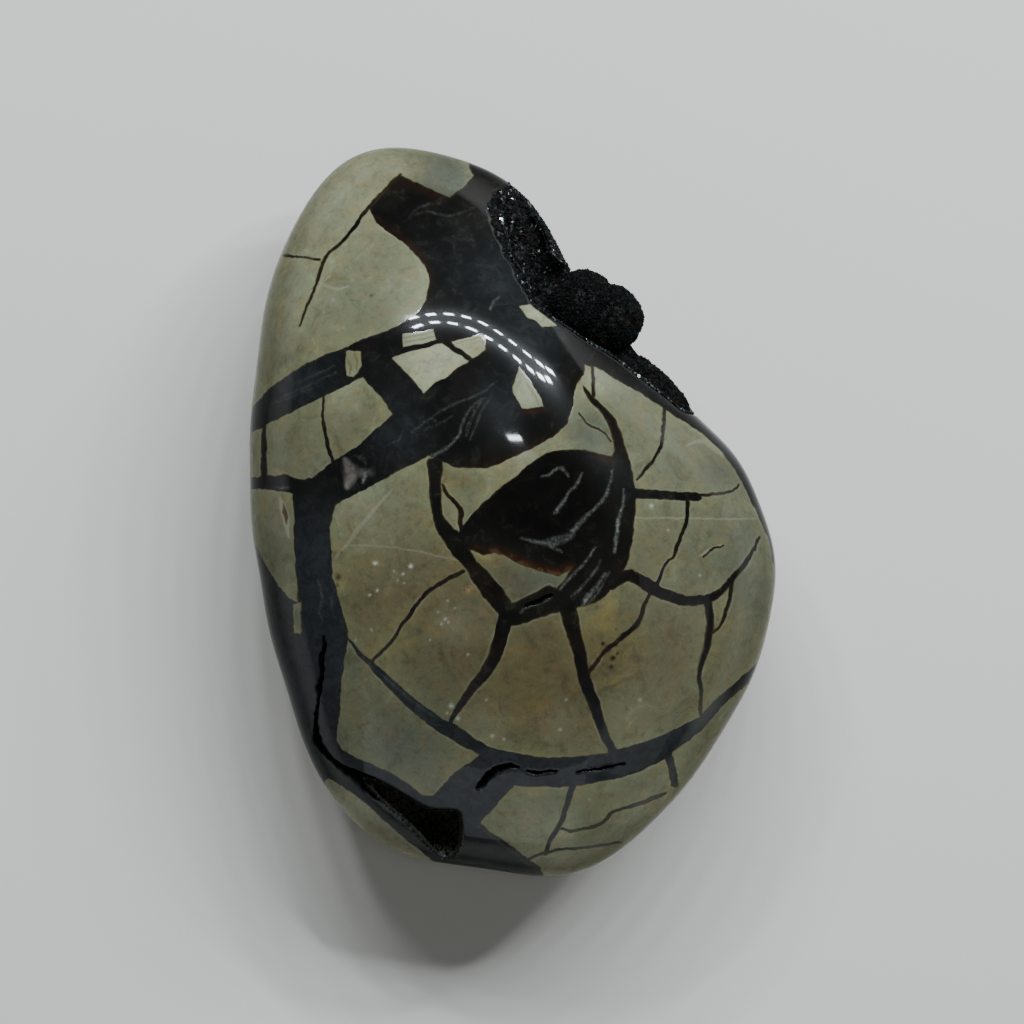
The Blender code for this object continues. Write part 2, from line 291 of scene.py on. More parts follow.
# Mudstone panels that stand inside those calcite outlines
PANELS = {
    "middle_left": ((266, 424), (300, 408), (363, 377), (378, 394), (393, 414), (358, 446), (331, 463),
                    (309, 480), (294, 478), (288, 475), (267, 476)),
    "left_strip": ((250, 433), (262, 428), (261, 477), (250, 478)),
    "striped_chip": ((345, 351), (350, 350), (361, 352), (362, 366), (354, 377), (347, 375)),
    "top_chip": ((402, 334), (403, 347), (420, 344), (436, 340), (433, 328), (416, 332)),
    "upper_light": ((391, 358), (415, 350), (443, 343), (457, 352), (471, 361), (458, 367), (448, 377),
                    (436, 382), (424, 394), (416, 384), (409, 376)),
    "upper_cream": ((450, 342), (466, 338), (482, 333), (486, 341), (486, 349), (473, 359)),
    "small_light": ((519, 366), (512, 390), (522, 409), (544, 407), (539, 394), (532, 382)),
    "edge_sliver": ((519, 306), (531, 304), (544, 314), (558, 326), (542, 327), (535, 320), (527, 317)),
    "left_eye": ((240, 488), (258, 489), (275, 490), (292, 493), (294, 510), (294, 540), (296, 570),
                 (298, 603), (289, 598), (280, 588), (267, 568), (255, 545), (240, 530)),
    "left_sliver": ((293, 605), (301, 602), (301, 634), (294, 633)),
    "lower_left": ((328, 778), (337, 783), (354, 794), (371, 808), (383, 819), (395, 829), (407, 840),
                   (420, 850), (433, 861), (436, 880), (400, 880), (340, 850), (310, 800)),
    "ring_lower": ((469, 548), (484, 556), (493, 553), (503, 555), (515, 562), (530, 568), (547, 573),
                   (558, 576), (570, 570), (564, 580), (557, 588), (550, 585), (541, 588), (527, 597),
                   (512, 603), (503, 590), (487, 571), (477, 562)),
}

# Veins and cracks across the mudstone: route points of (x, y, width)
VEINS = {
    "a": ((463, 572, 4), (442, 582, 4), (420, 600, 3.6), (393, 639, 3.2), (372, 661, 3)),
    "b": ((507, 615, 15), (500, 640, 14), (494, 658, 12.5), (484, 674, 11), (472, 689, 9),
          (458, 709, 6), (449, 726, 3.5)),
    "c": ((567, 606, 17), (573, 630, 15), (580, 654, 12.5), (586, 683, 12), (595, 706, 11),
          (601, 726, 9), (609, 744, 8), (616, 756, 8)),
    "d": ((657, 583, 3), (647, 598, 3.5), (641, 616, 4.5), (632, 629, 5), (612, 645, 4.5),
          (600, 657, 4), (589, 672, 3.5)),
    "e": ((612, 584, 12), (624, 576, 12), (633, 577, 12), (647, 585, 12.5), (664, 594, 11),
          (687, 601, 10), (706, 599, 9), (720, 592, 7), (736, 575, 5.5), (748, 560, 4), (760, 537, 2.4)),
    "f": ((708, 598, 9), (710, 625, 7.5), (706, 651, 6), (699, 671, 5), (701, 689, 4), (701, 715, 3.5)),
    "g": ((733, 580, 4), (728, 604, 4), (722, 622, 3), (713, 633, 2)),
    "h": ((633, 493, 10), (648, 494, 9), (665, 495, 8.5), (697, 497, 8)),
    "h_thin": ((696, 495, 3), (717, 494, 2.6), (731, 492, 2.4), (739, 485, 2.2)),
    "i": ((664, 405, 3.2), (663, 435, 3.2), (656, 456, 2.8), (637, 479, 2.4)),
    "j": ((688, 500, 4), (687, 521, 4), (678, 543, 3.4), (674, 556, 2.6), (666, 564, 2.4), (658, 583, 3)),
    "k": ((703, 557, 1.6), (712, 549, 2.0), (723, 546, 1.4)),
    "arc_branch": ((667, 750, 9), (671, 764, 8), (675, 784, 7)),
    "lower_a": ((573, 784, 6.5), (563, 817, 4.6), (552, 838, 4), (545, 853, 3.2)),
    "lower_b": ((562, 829, 2.4), (570, 831, 2.6), (582, 829, 2.8), (596, 826, 3), (606, 820, 3),
                (612, 813, 2.8), (624, 809, 2.6), (640, 804, 3.2), (653, 798, 3.4), (666, 793, 2.4)),
    "lower_c": ((526, 860, 2.2), (544, 853, 2.4), (566, 849, 2.2), (590, 847, 2), (622, 842, 1.4)),
    "top_crack": ((400, 174, 3), (370, 206, 3.4), (348, 235, 3.2), (326, 258, 3), (316, 283, 2.6),
                  (308, 304, 2.4), (300, 326, 1.8)),
    "top_side": ((284, 256, 2.4), (302, 257, 2.4), (320, 260, 2.6)),
    "panel_crack": ((324, 396, 2.2), (323, 418, 2.4), (327, 442, 3), (333, 463, 3)),
    "left_thin": ((254, 481, 6), (275, 483, 6), (290, 486, 6), (310, 482, 8)),
    "cream_crack": ((442, 342, 3), (456, 351, 3), (472, 361, 3)),
    "ridge_crack": ((592, 364, 3), (593, 378, 3), (594, 396, 3.5)),
    "ring_crack": ((443, 484, 2.4), (445, 492, 3.4), (450, 498, 3.6), (458, 505, 4.4), (461, 512, 5),
                   (460, 521, 4.4), (461, 530, 4)),
    "ring_hair": ((579, 413, 1.6), (588, 424, 1.8), (602, 431, 1.6), (611, 441, 1.8)),
}

# Open cracks and small voids in the calcite: route points of (x, y, width)
OPEN_CRACKS = {
    "left_band": ((324, 636, 1.2), (324, 648, 3.6), (321, 660, 5), (322, 674, 3.2), (319, 686, 5),
                  (319, 697, 2.4), (316, 712, 2.4), (316, 728, 3.6), (317, 739, 6.5), (323, 750, 4.6),
                  (331, 759, 4), (345, 770, 6), (358, 777, 11), (370, 785, 16), (380, 792, 17)),
    "branch": ((478, 788, 3), (485, 780, 6), (492, 773, 6.5), (500, 768, 6), (509, 766, 4), (519, 768, 2)),
    "arc_a": ((527, 771, 1.6), (538, 773, 2.4), (556, 771, 1.6)),
    "arc_b": ((577, 772, 1.0), (592, 770, 1.8), (604, 768, 2.0), (624, 764, 1.2)),
    "ring_a": ((526, 606, 1.6), (534, 603, 3.4), (545, 598, 3.4), (551, 595, 2)),
}

# Pale streaks inside the calcite, and one painted highlight among them: route points of (x, y, width), and
# how strong they are
PALE_STREAKS = (
    (0.62, ((541, 477, 0.4), (550, 474, 1.2), (555, 470, 1.4), (561, 468, 2.2), (565, 471, 2.4),
            (568, 476, 0.6))),
    (0.62, ((582, 473, 0.8), (577, 484, 1.8), (569, 492, 1.2), (562, 504, 2.8), (555, 513, 1.8))),
    (0.55, ((612, 470, 0.8), (610, 483, 1.6), (604, 498, 2.2), (593, 510, 2.6), (582, 521, 3),
            (573, 531, 4))),
    (0.60, ((520, 538, 0.4), (532, 541, 1.6), (545, 543, 2), (553, 547, 1.4), (562, 552, 0.6))),
    (0.30, ((543, 543, 4), (556, 541, 9), (566, 538, 8), (573, 534, 4))),
    (0.80, ((624, 489, 0.6), (623, 504, 1.2), (618, 522, 2.6), (617, 533, 3), (614, 552, 1.6))),
    (0.85, ((605, 574, 1.2), (596, 587, 2.8), (588, 596, 3.2), (581, 608, 1.4))),
    (0.40, ((609, 572, 0.6), (602, 585, 1.2), (594, 597, 1.4), (586, 606, 0.6))),
    (0.85, ((595, 548, 0.6), (585, 562, 1.4), (573, 575, 1.2), (560, 589, 0.4))),
    (0.42, ((600, 560, 0.4), (596, 570, 1.4), (588, 580, 1.2), (579, 590, 1.8), (571, 596, 0.6))),
    (0.42, ((521, 612, 1.4), (529, 606, 2), (540, 603, 1.4), (551, 598, 0.6))),
    (0.62, ((481, 399, 0.3), (470, 409, 0.7), (464, 420, 1.1), (458, 436, 1.2), (448, 447, 1.8),
            (436, 454, 2.6), (427, 459, 1.2))),
    (0.42, ((471, 405, 0.2), (474, 413, 0.6), (468, 424, 0.4), (466, 436, 0.2))),
    (0.42, ((484, 398, 0.2), (476, 410, 0.4), (470, 424, 0.4), (468, 433, 0.2))),
    (0.34, ((489, 401, 0.2), (481, 412, 0.4), (476, 425, 0.4), (470, 440, 0.2))),
    (0.36, ((432, 417, 0.2), (446, 408, 0.8), (457, 403, 0.7), (468, 399, 0.8), (480, 394, 1),
            (497, 381, 0.5))),
    (0.34, ((411, 432, 0.2), (418, 427, 0.8), (430, 419, 1.0), (436, 421, 0.4))),
    (0.24, ((424, 430, 0.2), (438, 424, 0.8), (452, 416, 0.3))),
    (0.20, ((385, 446, 0.6), (398, 440, 1), (404, 430, 0.6))),
    (0.26, ((280, 398, 0.6), (300, 389, 1), (322, 379, 1), (336, 372, 0.6))),
    (0.20, ((270, 405, 0.2), (290, 397, 0.6), (313, 388, 0.6))),
    (0.22, ((290, 386, 0.2), (310, 377, 0.6), (334, 366, 0.4))),
    (0.70, ((499, 297, 0.3), (493, 302, 0.9), (490, 309, 0.5))),
    (0.30, ((487, 210, 1), (492, 225, 1.6), (498, 239, 2), (507, 254, 2.4), (516, 268, 2.4), (526, 287, 1))),
    (0.16, ((452, 236, 0.4), (461, 239, 1.4), (474, 240, 0.8))),
    (0.18, ((414, 214, 0.3), (430, 212, 1.2), (450, 216, 1.2), (474, 208, 0.3))),
    (0.14, ((405, 222, 0.3), (420, 207, 1.2), (440, 203, 1.2))),
    (0.34, ((478, 826, 0.3), (494, 838, 0.8), (512, 852, 0.8), (530, 866, 0.8))),
    (0.22, ((492, 828, 0.3), (512, 843, 0.6), (528, 855, 0.6))),
    (0.24, ((356, 651, 0.3), (381, 674, 0.5), (406, 696, 0.5), (432, 716, 0.5))),
    (0.42, ((474, 790, 0.8), (478, 787, 2), (481, 790, 0.8))),
    # A painted highlight: the thin white line along the thin vein at the left
    (0.60, ((276, 487, 0.8), (283, 488, 2), (289, 488, 0.8))),
    (1.00, ((365, 473, 1.4), (365, 477, 3.2), (363, 482, 2))),
    (0.50, ((346, 483, 1), (347, 486, 3), (348, 488, 1))),
    (0.16, ((354, 455, 1), (362, 458, 3), (366, 464, 2))),
    (0.22, ((318, 580, 0.6), (322, 596, 1.8), (319, 612, 1.2), (324, 622, 0.6))),
    (0.18, ((334, 590, 0.3), (331, 604, 1.2), (335, 618, 1.2))),
)

# Amber and red-brown places inside the calcite, where light gets in
AMBER_STREAKS = (
    (1.0, ((476, 546, 6), (487, 547, 9), (499, 551, 12), (512, 555, 14), (527, 561, 16), (543, 567, 17),
           (558, 572, 17), (571, 566, 10))),
    (0.9, ((597, 458, 5), (603, 460, 8), (611, 462, 8))),
    (0.7, ((604, 560, 8), (611, 566, 12), (618, 563, 8))),
    (0.8, ((524, 412, 6), (533, 413, 8), (543, 411, 6))),
    (0.28, ((467, 562, 6), (476, 575, 10), (486, 588, 11), (496, 600, 10))),
    (0.3, ((607, 590, 6), (597, 601, 9), (588, 606, 8))),
    (0.2, ((569, 617, 10), (574, 636, 10), (581, 655, 9))),
    (0.4, ((380, 219, 9), (396, 232, 10), (412, 246, 10), (424, 262, 9), (429, 280, 9), (425, 298, 8))),
    (0.35, ((376, 196, 9), (392, 184, 10), (410, 186, 10), (440, 198, 10))),
    (0.35, ((466, 466, 6), (487, 464, 7), (518, 452, 7), (545, 439, 7))),
    (0.3, ((601, 391, 5), (612, 410, 6), (622, 430, 7), (630, 455, 7))),
    (0.5, ((444, 488, 4), (454, 500, 5), (463, 511, 6), (460, 523, 5))),
    (0.2, ((500, 640, 9), (486, 668, 9), (466, 697, 8))),
    (0.35, ((602, 646, 6), (596, 662, 7), (589, 674, 6))),
    (0.22, ((463, 572, 5), (420, 600, 5), (393, 639, 5))),
    (0.22, ((324, 396, 5), (324, 430, 5), (333, 463, 6))),
)

# How far the amber reaches into the calcite from its border
AMBER_REACH_MM = 3.0

# Thin light scratches and cleavage lines across the polish
SCRATCHES = (
    (0.34, ((632, 518, 1.0), (668, 518, 1.2), (712, 519, 1.0), (756, 519, 0.8))),
    (0.30, ((344, 545, 0.9), (392, 547, 1.1), (434, 555, 1.0), (462, 561, 0.8))),
    (0.22, ((336, 558, 2), (350, 540, 4), (368, 517, 4), (392, 490, 2))),
    (0.5, ((313, 279, 1.2), (324, 285, 1.4), (338, 289, 1.8), (348, 286, 1.2))),
    (0.4, ((316, 292, 1.0), (322, 283, 1.4), (330, 276, 1.2))),
    (0.35, ((699, 556, 1.4), (712, 549, 1.8), (722, 545, 1.4))),
    (0.35, ((462, 356, 1.6), (474, 347, 2.0), (484, 343, 1.4))),
    (0.42, ((280, 498, 1.5), (283, 508, 6.5), (286, 520, 7), (288, 532, 4), (289, 538, 1.5))),
    (0.20, ((687, 446, 1.5), (700, 441, 4), (714, 447, 7), (722, 455, 3))),
)

# Brown layers across the small chips in the veins, and the dark core of a pale spot at the left
CHIP_STRIPES = (
    (1.0, ((283, 504, 1), (285, 513, 4.4), (287, 524, 1.4))),
    (0.7, ((404, 343, 1.0), (419, 340, 1.4), (436, 336, 1.0))),
    (0.6, ((403, 338, 0.8), (418, 335, 1.2), (434, 331, 1.0))),
    (0.7, ((346, 356, 1.0), (351, 366, 1.6), (350, 375, 1.2))),
    (0.6, ((354, 351, 1.0), (357, 360, 1.4), (357, 371, 1.0))),
    (0.5, ((455, 344, 0.9), (466, 341, 1.0), (480, 337, 0.8))),
    (0.35, ((527, 383, 2.0), (534, 394, 3.0), (539, 405, 2.0))),
    (0.35, ((545, 316, 1.0), (541, 322, 2.0), (536, 318, 1.4))),
)

# Flecks and stains of the mudstone: (x, y, radius, strength)
LIGHT_FLECKS = (
    (375, 563, 2.0, 0.9), (411, 566, 2.0, 0.9), (403, 574, 1.2, 0.7), (377, 590, 1.4, 0.6),
    (370, 595, 1.2, 0.5), (371, 630, 1.3, 0.4), (445, 619, 1.6, 0.5), (442, 624, 1.4, 0.4),
    (449, 622, 1.3, 0.4), (448, 601, 1.2, 0.4), (398, 580, 1.1, 0.5), (404, 583, 1.0, 0.4),
    (394, 571, 1.0, 0.4), (451, 706, 2.0, 0.5), (458, 718, 1.8, 0.5), (447, 713, 1.2, 0.4),
    (492, 736, 1.6, 0.5), (504, 739, 1.4, 0.4), (468, 655, 1.3, 0.4), (487, 700, 1.2, 0.4),
    (430, 640, 1.2, 0.4), (356, 640, 1.4, 0.3), (438, 612, 1.1, 0.4), (455, 608, 1.0, 0.3),
    (652, 506, 1.8, 0.6), (668, 530, 1.4, 0.4),
    (700, 575, 1.6, 0.3), (640, 700, 1.6, 0.4), (560, 730, 1.5, 0.4), (590, 800, 1.6, 0.3),
    (566, 700, 1.4, 0.3), (395, 690, 1.6, 0.3), (333, 300, 1.6, 0.4),
)
DARK_FLECKS = (
    (284, 512, 1.8, 0.9), (286, 518, 1.4, 0.7), (338, 577, 3.0, 0.8), (337, 585, 2.2, 0.6),
    (342, 552, 1.6, 0.5), (371, 296, 1.6, 0.8), (392, 292, 1.2, 0.5),
    (608, 649, 2.6, 1.6), (613, 658, 2.4, 1.6), (603, 644, 2.0, 1.4),
    (616, 645, 1.8, 1.2), (611, 667, 2.0, 1.3), (598, 660, 1.8, 1.2), (618, 653, 1.6, 1.2),
    (616, 629, 1.4, 0.6), (592, 640, 1.2, 0.5), (434, 577, 1.4, 0.5), (575, 700, 1.4, 0.3),
    (402, 608, 1.3, 0.4), (491, 612, 1.6, 0.4), (346, 752, 2.2, 0.5), (643, 735, 1.6, 0.4),
)
YELLOW_STAINS = (
    (605, 622, 13, 0.7), (616, 680, 13, 0.6), (610, 605, 10, 0.4), (472, 590, 6, 0.5), (468, 345, 9, 0.5),
    (475, 350, 6, 0.4), (632, 650, 18, 0.35), (400, 640, 30, 0.25), (505, 440, 26, 0.3), (480, 553, 7, 0.5),
    (345, 330, 22, 0.15), (300, 200, 50, 0.12), (520, 700, 40, 0.2), (285, 512, 9, 0.4),
    (730, 612, 16, 0.2), (700, 462, 14, 0.25), (350, 572, 22, 0.2), (286, 500, 8, 0.3),
)
ROSY_STAINS = (
    (470, 590, 4.5, 0.9), (517, 467, 8, 0.35), (451, 620, 5, 0.5), (484, 612, 4, 0.3), (536, 718, 14, 0.2),
    (440, 480, 7, 0.2), (600, 655, 9, 0.3),
)

# Broad places of the mudstone, as (x, y, radius, strength): browner, paler and darker
BROWN_TONE = (
    (470, 640, 95, 0.85), (560, 690, 90, 0.75), (400, 575, 60, 0.8), (640, 650, 70, 0.45),
    (350, 605, 26, 0.4), (645, 550, 40, 0.3), (455, 478, 16, 0.45), (452, 625, 26, -0.3),
    (620, 705, 30, -0.35), (510, 590, 40, 0.5), (345, 430, 40, 0.3), (560, 440, 50, 0.2),
    (700, 640, 50, 0.35),
)
# Paler places are partly the mudstone's own paler tone and partly painted light: lighter colour on the lower
# end and the left, which face away from the lamps, and a painted sheen at the upper left
PALE_AND_LIT_TONE = (
    (430, 362, 34, 1.0), (466, 346, 22, 0.6), (528, 388, 24, 0.9), (540, 316, 24, 0.8),
    (420, 290, 30, 0.35), (600, 380, 24, 0.45), (360, 500, 30, 0.30), (540, 450, 40, 0.20),
    (350, 806, 34, 1.0), (408, 852, 30, 0.5), (548, 858, 44, 0.45), (645, 800, 44, 0.25),
    (270, 520, 40, 0.18), (300, 440, 44, 0.12), (345, 396, 22, 0.25), (485, 720, 24, 0.12),
    (560, 724, 22, 0.12), (360, 742, 22, 0.12), (690, 640, 26, 0.05), (390, 560, 60, 0.10),
    (460, 625, 30, 0.10), (330, 190, 60, 0.35), (310, 300, 50, 0.25), (680, 460, 36, 0.15),
)
DARK_TONE = (
    (390, 730, 70, 0.5), (352, 662, 16, 0.4), (548, 580, 16, 0.8), (616, 450, 26, 0.3),
    (400, 745, 24, 0.3), (560, 800, 18, 0.4), (270, 560, 40, 0.5), (590, 430, 26, 0.9),
    (520, 590, 36, 0.5), (445, 180, 34, 1.3), (725, 540, 44, 0.6), (680, 460, 40, 0.4),
    (722, 470, 26, 0.7), (745, 600, 34, 0.4), (300, 617, 12, 0.8),
)

# Calcite painted a bluish grey, as a painted sheen of reflection along the rims, over the lower part and
# around the bright highlights: (x, y, radius, strength)
SLATE_SHEEN_TONE = (
    (310, 560, 60, 1.0), (300, 680, 75, 1.0), (370, 800, 75, 1.0), (500, 780, 60, 1.0),
    (600, 770, 50, 1.0), (690, 725, 60, 1.0), (400, 700, 60, 0.9), (730, 450, 26, 0.8),
    (765, 530, 26, 0.8), (300, 385, 42, 0.9), (500, 278, 40, 0.8), (538, 336, 34, 0.7),
    (502, 402, 26, 0.9), (436, 262, 30, 0.2), (400, 395, 40, 0.3), (660, 385, 30, 0.3),
    (460, 230, 34, 0.1), (500, 850, 40, 0.8), (400, 440, 34, 0.55),
)

# Paler calcite of the fine cracks low on the right and of the long vein's right end
MILKY_TONE = (
    (566, 856, 26, 0.7), (600, 842, 26, 0.8), (580, 822, 20, 0.5), (620, 820, 20, 0.9),
    (646, 806, 22, 0.9), (668, 792, 18, 0.8), (540, 862, 16, 0.6), (706, 706, 18, 0.55),
)

# Calcite of the eye that stays deep black: (x, y, radius, strength)
DEEP_TONE = (
    (510, 500, 30, 1.0), (545, 478, 30, 1.0), (575, 490, 28, 0.9), (545, 520, 28, 0.9), (596, 530, 20, 0.6),
)

# Cloudy rose grey patch in the left bar of calcite: its route as (x, y, width), and how strong it is
CLOUDY_PATCH = (
    (0.85, ((345, 459, 3), (348, 466, 8), (351, 474, 13), (349, 482, 9), (347, 487, 4))),
    (0.45, ((354, 470, 6), (361, 473, 8), (372, 472, 4))),
)

# Colour weights of the front by their names: soft spots, flecks, and streaks with their softness
SPOT_TINTS = {
    "brown": BROWN_TONE, "pale": PALE_AND_LIT_TONE, "dark": DARK_TONE, "yellow": YELLOW_STAINS,
    "rosy": ROSY_STAINS, "slate_and_sheen": SLATE_SHEEN_TONE, "deep": DEEP_TONE, "milky": MILKY_TONE,
}
FLECK_TINTS = {"light_fleck": LIGHT_FLECKS, "dark_fleck": DARK_FLECKS}
STREAK_TINTS = {
    "rust": (AMBER_STREAKS, 3.0), "wisp_and_highlight": (PALE_STREAKS, 1.5), "cloudy": (CLOUDY_PATCH, 2.0),
    "scratch": (SCRATCHES, 0.7), "stripe": (CHIP_STRIPES, 0.8),
}

# Depth below the widest level at which those have faded, and what takes their place on the back: share,
# middle and change of a smooth noise, its size in metres, and its phase
TINT_FADE = 0.006
BACK_TINTS = {
    "brown": (1.0, 0.45, 0.6, 0.03, 3.3),
    "yellow": (0.35, 0.0, 1.0, 0.012, 7.7),
    "slate_and_sheen": (1.0, 0.4, 0.7, 0.035, 5.5),
}

# Colour weights that each material uses
MUDSTONE_TINTS = (
    "brown", "pale", "dark", "yellow", "rosy", "light_fleck", "dark_fleck", "scratch", "stripe", "border",
)
CALCITE_TINTS = ("slate_and_sheen", "rust", "wisp_and_highlight", "deep", "cloudy", "milky", "border", "crack_shade", "broken")

# Flank beside the hollow that crystals cover down to a level, in picture points and metres
DRUSE_FLANK = (
    (489, 204), (495, 193), (506, 186), (522, 172), (600, 172), (600, 300), (562, 300), (536, 298),
    (524, 290), (514, 272), (506, 255), (500, 244), (494, 230), (490, 216),
)
DRUSE_FLANK_LEVEL = 0.0300

# Change of that level: height, size in metres, and phase
FLANK_LEVEL_WAVE = (0.0022, 0.005, 2.2)

# Back of the stone: middles of the mudstone panels in plan, in millimetres, and the vein width there
BACK_PANELS = (
    (-38.0, 56.0), (-14.0, 66.0), (-44.0, 22.0), (-17.0, 30.0), (13.0, 44.0), (34.0, 20.0),
    (8.0, 4.0), (-28.0, -9.0), (45.0, -13.0), (-47.0, -29.0), (-8.0, -37.0), (26.0, -38.0),
    (-28.0, -62.0), (6.0, -70.0), (40.0, -62.0),
)
BACK_VEIN_MM = 4.6

# Height below the widest level over which the front's veins hand over to the back's
RIM_BLEND = 0.012

# How both change from place to place: share, size in metres, and phase
BACK_VEIN_WAVE = (0.45, 0.024, 8.0)
RIM_BLEND_WAVE = (0.7, 0.016, 2.2)

# Floor: its colours, and how far it reaches from the middle
FLOOR_COLOURS = ((0.80, 0.755, 0.69), (0.83, 0.785, 0.72))
FLOOR_REACH = 3.0

# Two rows of small light panels above the upper end: their places in metres at one height
STRIP_ROWS = (
    ((-0.48, 0.80), (-0.33, 0.93), (-0.17, 1.01), (0.0, 1.05), (0.16, 1.00), (0.29, 0.88), (0.38, 0.75),
     (0.48, 0.66), (0.62, 0.63), (0.80, 0.66), (1.05, 0.75)),
    ((-0.40, 0.58), (-0.28, 0.70), (-0.14, 0.75), (0.0, 0.71), (0.12, 0.62), (0.20, 0.52), (0.28, 0.46),
     (0.37, 0.42), (0.48, 0.42), (0.62, 0.46), (0.78, 0.54)),
)
STRIP_HEIGHT = 0.95
STRIP_SHARE = 0.50
STRIP_WIDTH = 0.031
STRIP_RADIANCE = 130.0
STRIP_COLOUR = (0.84, 0.93, 1.0)

# Wide dim panels: name, place, direction of the first side, sizes, power and colour
WIDE_PANELS = (
    ("lower_side", (-0.7, -2.9, 1.3), (1, 0, 0), 3.8, 2.2, 12.0, (0.90, 0.96, 1.0)),
    ("right_side", (2.4, -1.6, 2.0), (0, 1, 0), 3.0, 2.4, 6.0, (0.94, 0.98, 1.0)),
)

# Small near lamp, whose reflection is the bright dash above the eye of the stone
NEAR_LAMP_ENDS = ((0.040, -0.021), (0.112, 0.004))
NEAR_LAMP_HEIGHT = 1.25
NEAR_LAMP_WIDTH = 0.014
NEAR_LAMP_POWER = 0.26

WORLD_COLOUR = (0.86, 0.92, 0.96)
WORLD_STRENGTH = 0.075


# Curves

def smooth_stretches(p0, p1, p2, p3, steps):
    """Points of the smooth stretches from each p1 to its p2, with steps to each stretch."""
    curve = []
    for t in np.arange(steps) / steps:
        curve.append(
            0.5 * (2 * p1 + (p2 - p0) * t + (2 * p0 - 5 * p1 + 4 * p2 - p3) * t**2
                   + (3 * p1 - p0 - 3 * p2 + p3) * t**3)
        )
    return np.stack(curve, axis=1).reshape(-1, p1.shape[1])


def closed_curve(points, steps):
    """Points of a smooth closed curve through the given ones."""
    p = np.array(points, dtype=float)
    return smooth_stretches(np.roll(p, 1, axis=0), p, np.roll(p, -1, axis=0), np.roll(p, -2, axis=0), steps)


def open_curve(points, steps):
    """Points of a smooth curve from the first given point to the last."""
    p = np.array(points, dtype=float)
    p = np.vstack([2 * p[0] - p[1], p, 2 * p[-1] - p[-2]])
    return np.vstack([smooth_stretches(p[:-3], p[1:-2], p[2:-1], p[3:], steps), p[-2]])


# The stone's shape

def outline_terms():
    """The outline's radius about the origin, as Fourier terms of the bearing."""
    curve = closed_curve(OUTLINE, 8) * MM
    bearing = np.arctan2(curve[:, 1], curve[:, 0])
    order = np.argsort(bearing)
    radius = np.hypot(curve[:, 0], curve[:, 1])[order]
    samples = np.arange(720) / 720 * 2 * math.pi - math.pi
    even = np.interp(samples, bearing[order], radius, period=2 * math.pi)
    terms = np.fft.rfft(even)[:OUTLINE_HARMONICS + 1] / len(samples)
    return terms * np.exp(1j * math.pi * np.arange(OUTLINE_HARMONICS + 1))


TERMS = outline_terms()


def plan_radius(bearing, share):
    """Radius of the plan contour that lies at a share of the outline: inner contours are rounder."""
    radius = np.full_like(bearing, TERMS[0].real)
    turn = np.exp(1j * bearing)
    wave = np.ones_like(turn)
    for order in range(1, OUTLINE_HARMONICS + 1):
        wave = wave * turn
        if order > 2:
            wave = wave * share
        radius += 2 * (TERMS[order] * wave).real
    return radius


def polish_waves(x, y):
    """Height of the gentle waves over a plan point."""
    height = np.zeros_like(x)
    for size, turns_x, turns_y, phase in POLISH_WAVES:
        height += size * np.sin(turns_x * x + turns_y * y + phase)
    return height


def front_rise(x, y):
    """Rise of the front above the widest level, before it rounds down to the outline."""
    dx, dy = x - RIDGE_CENTRE[0], y - RIDGE_CENTRE[1]
    beyond = np.hypot(dx, dy) - RIDGE_RADIUS
    turn = (np.arctan2(dy, dx) - RIDGE_BEARING + math.pi) % (2 * math.pi) - math.pi
    window = np.cos(np.clip(turn / RIDGE_SPREAD, -1, 1) * math.pi / 2) ** 2
    fall = RIDGE_SLOPE * RIDGE_SOFTNESS * np.logaddexp(0, beyond / RIDGE_SOFTNESS)
    return FRONT_RISE * (1 + FRONT_CLIMB * y) - fall * window + polish_waves(x, y)


def contour_share(x, y):
    """Share of the outline at which a plan point lies, 0 at the origin and 1 on the outline."""
    bearing, distance = np.arctan2(y, x), np.hypot(x, y)
    share = distance / plan_radius(bearing, np.ones_like(bearing))
    for _ in range(CONTOUR_ROUNDS):
        share = 0.5 * (share + np.clip(distance / plan_radius(bearing, share), 0, CONTOUR_LIMIT))
    return share


def front_height(x, y):
    """Height of the polished front over a plan point, and the widest level outside the outline."""
    share = np.clip(contour_share(x, y), 0, 1)
    return WIDEST_LEVEL + (1 - share**PLAN_EXPONENT) ** (1 / RISE_EXPONENT) * front_rise(x, y)


def stone_surface(directions):
    """Points of the stone's outside in the given unit directions from its middle."""
    across = np.hypot(directions[:, 0], directions[:, 1])
    upward = np.abs(directions[:, 2])
    low, high = np.zeros(len(directions)), np.full(len(directions), SURFACE_LIMIT)
    for _ in range(SURFACE_ROUNDS):
        reach = 0.5 * (low + high)
        outside = (reach * across) ** PLAN_EXPONENT + (reach * upward) ** RISE_EXPONENT > 1
        low, high = np.where(outside, low, reach), np.where(outside, reach, high)
    share, level = reach * across, reach * upward
    bearing = np.arctan2(directions[:, 1], directions[:, 0])
    radius = share * plan_radius(bearing, share)
    x, y = radius * np.cos(bearing), radius * np.sin(bearing)
    z = np.where(directions[:, 2] > 0, level * front_rise(x, y), -level * BACK_DROP)
    return np.stack([x, y, WIDEST_LEVEL + z], axis=1)


def surface_normals(directions):
    """Unit normals of the stone's outside in the given directions from its middle."""
    steep = np.abs(directions[:, 2:]) >= UPRIGHT
    side = np.cross(directions, np.where(steep, (1.0, 0.0, 0.0), (0.0, 0.0, 1.0)))
    side *= NORMAL_STEP / np.linalg.norm(side, axis=1)[:, None]
    third = np.cross(directions, side)
    across = stone_surface(directions + side) - stone_surface(directions - side)
    along = stone_surface(directions + third) - stone_surface(directions - third)
    flat = np.cross(across, along)
    return flat / np.linalg.norm(flat, axis=1)[:, None]


def ripple(x, y, height, turns_x, turns_y):
    """Height of the ripples of a hollow's floor over a plan point."""
    return height * np.sin(x * turns_x) * np.sin(y * turns_y)


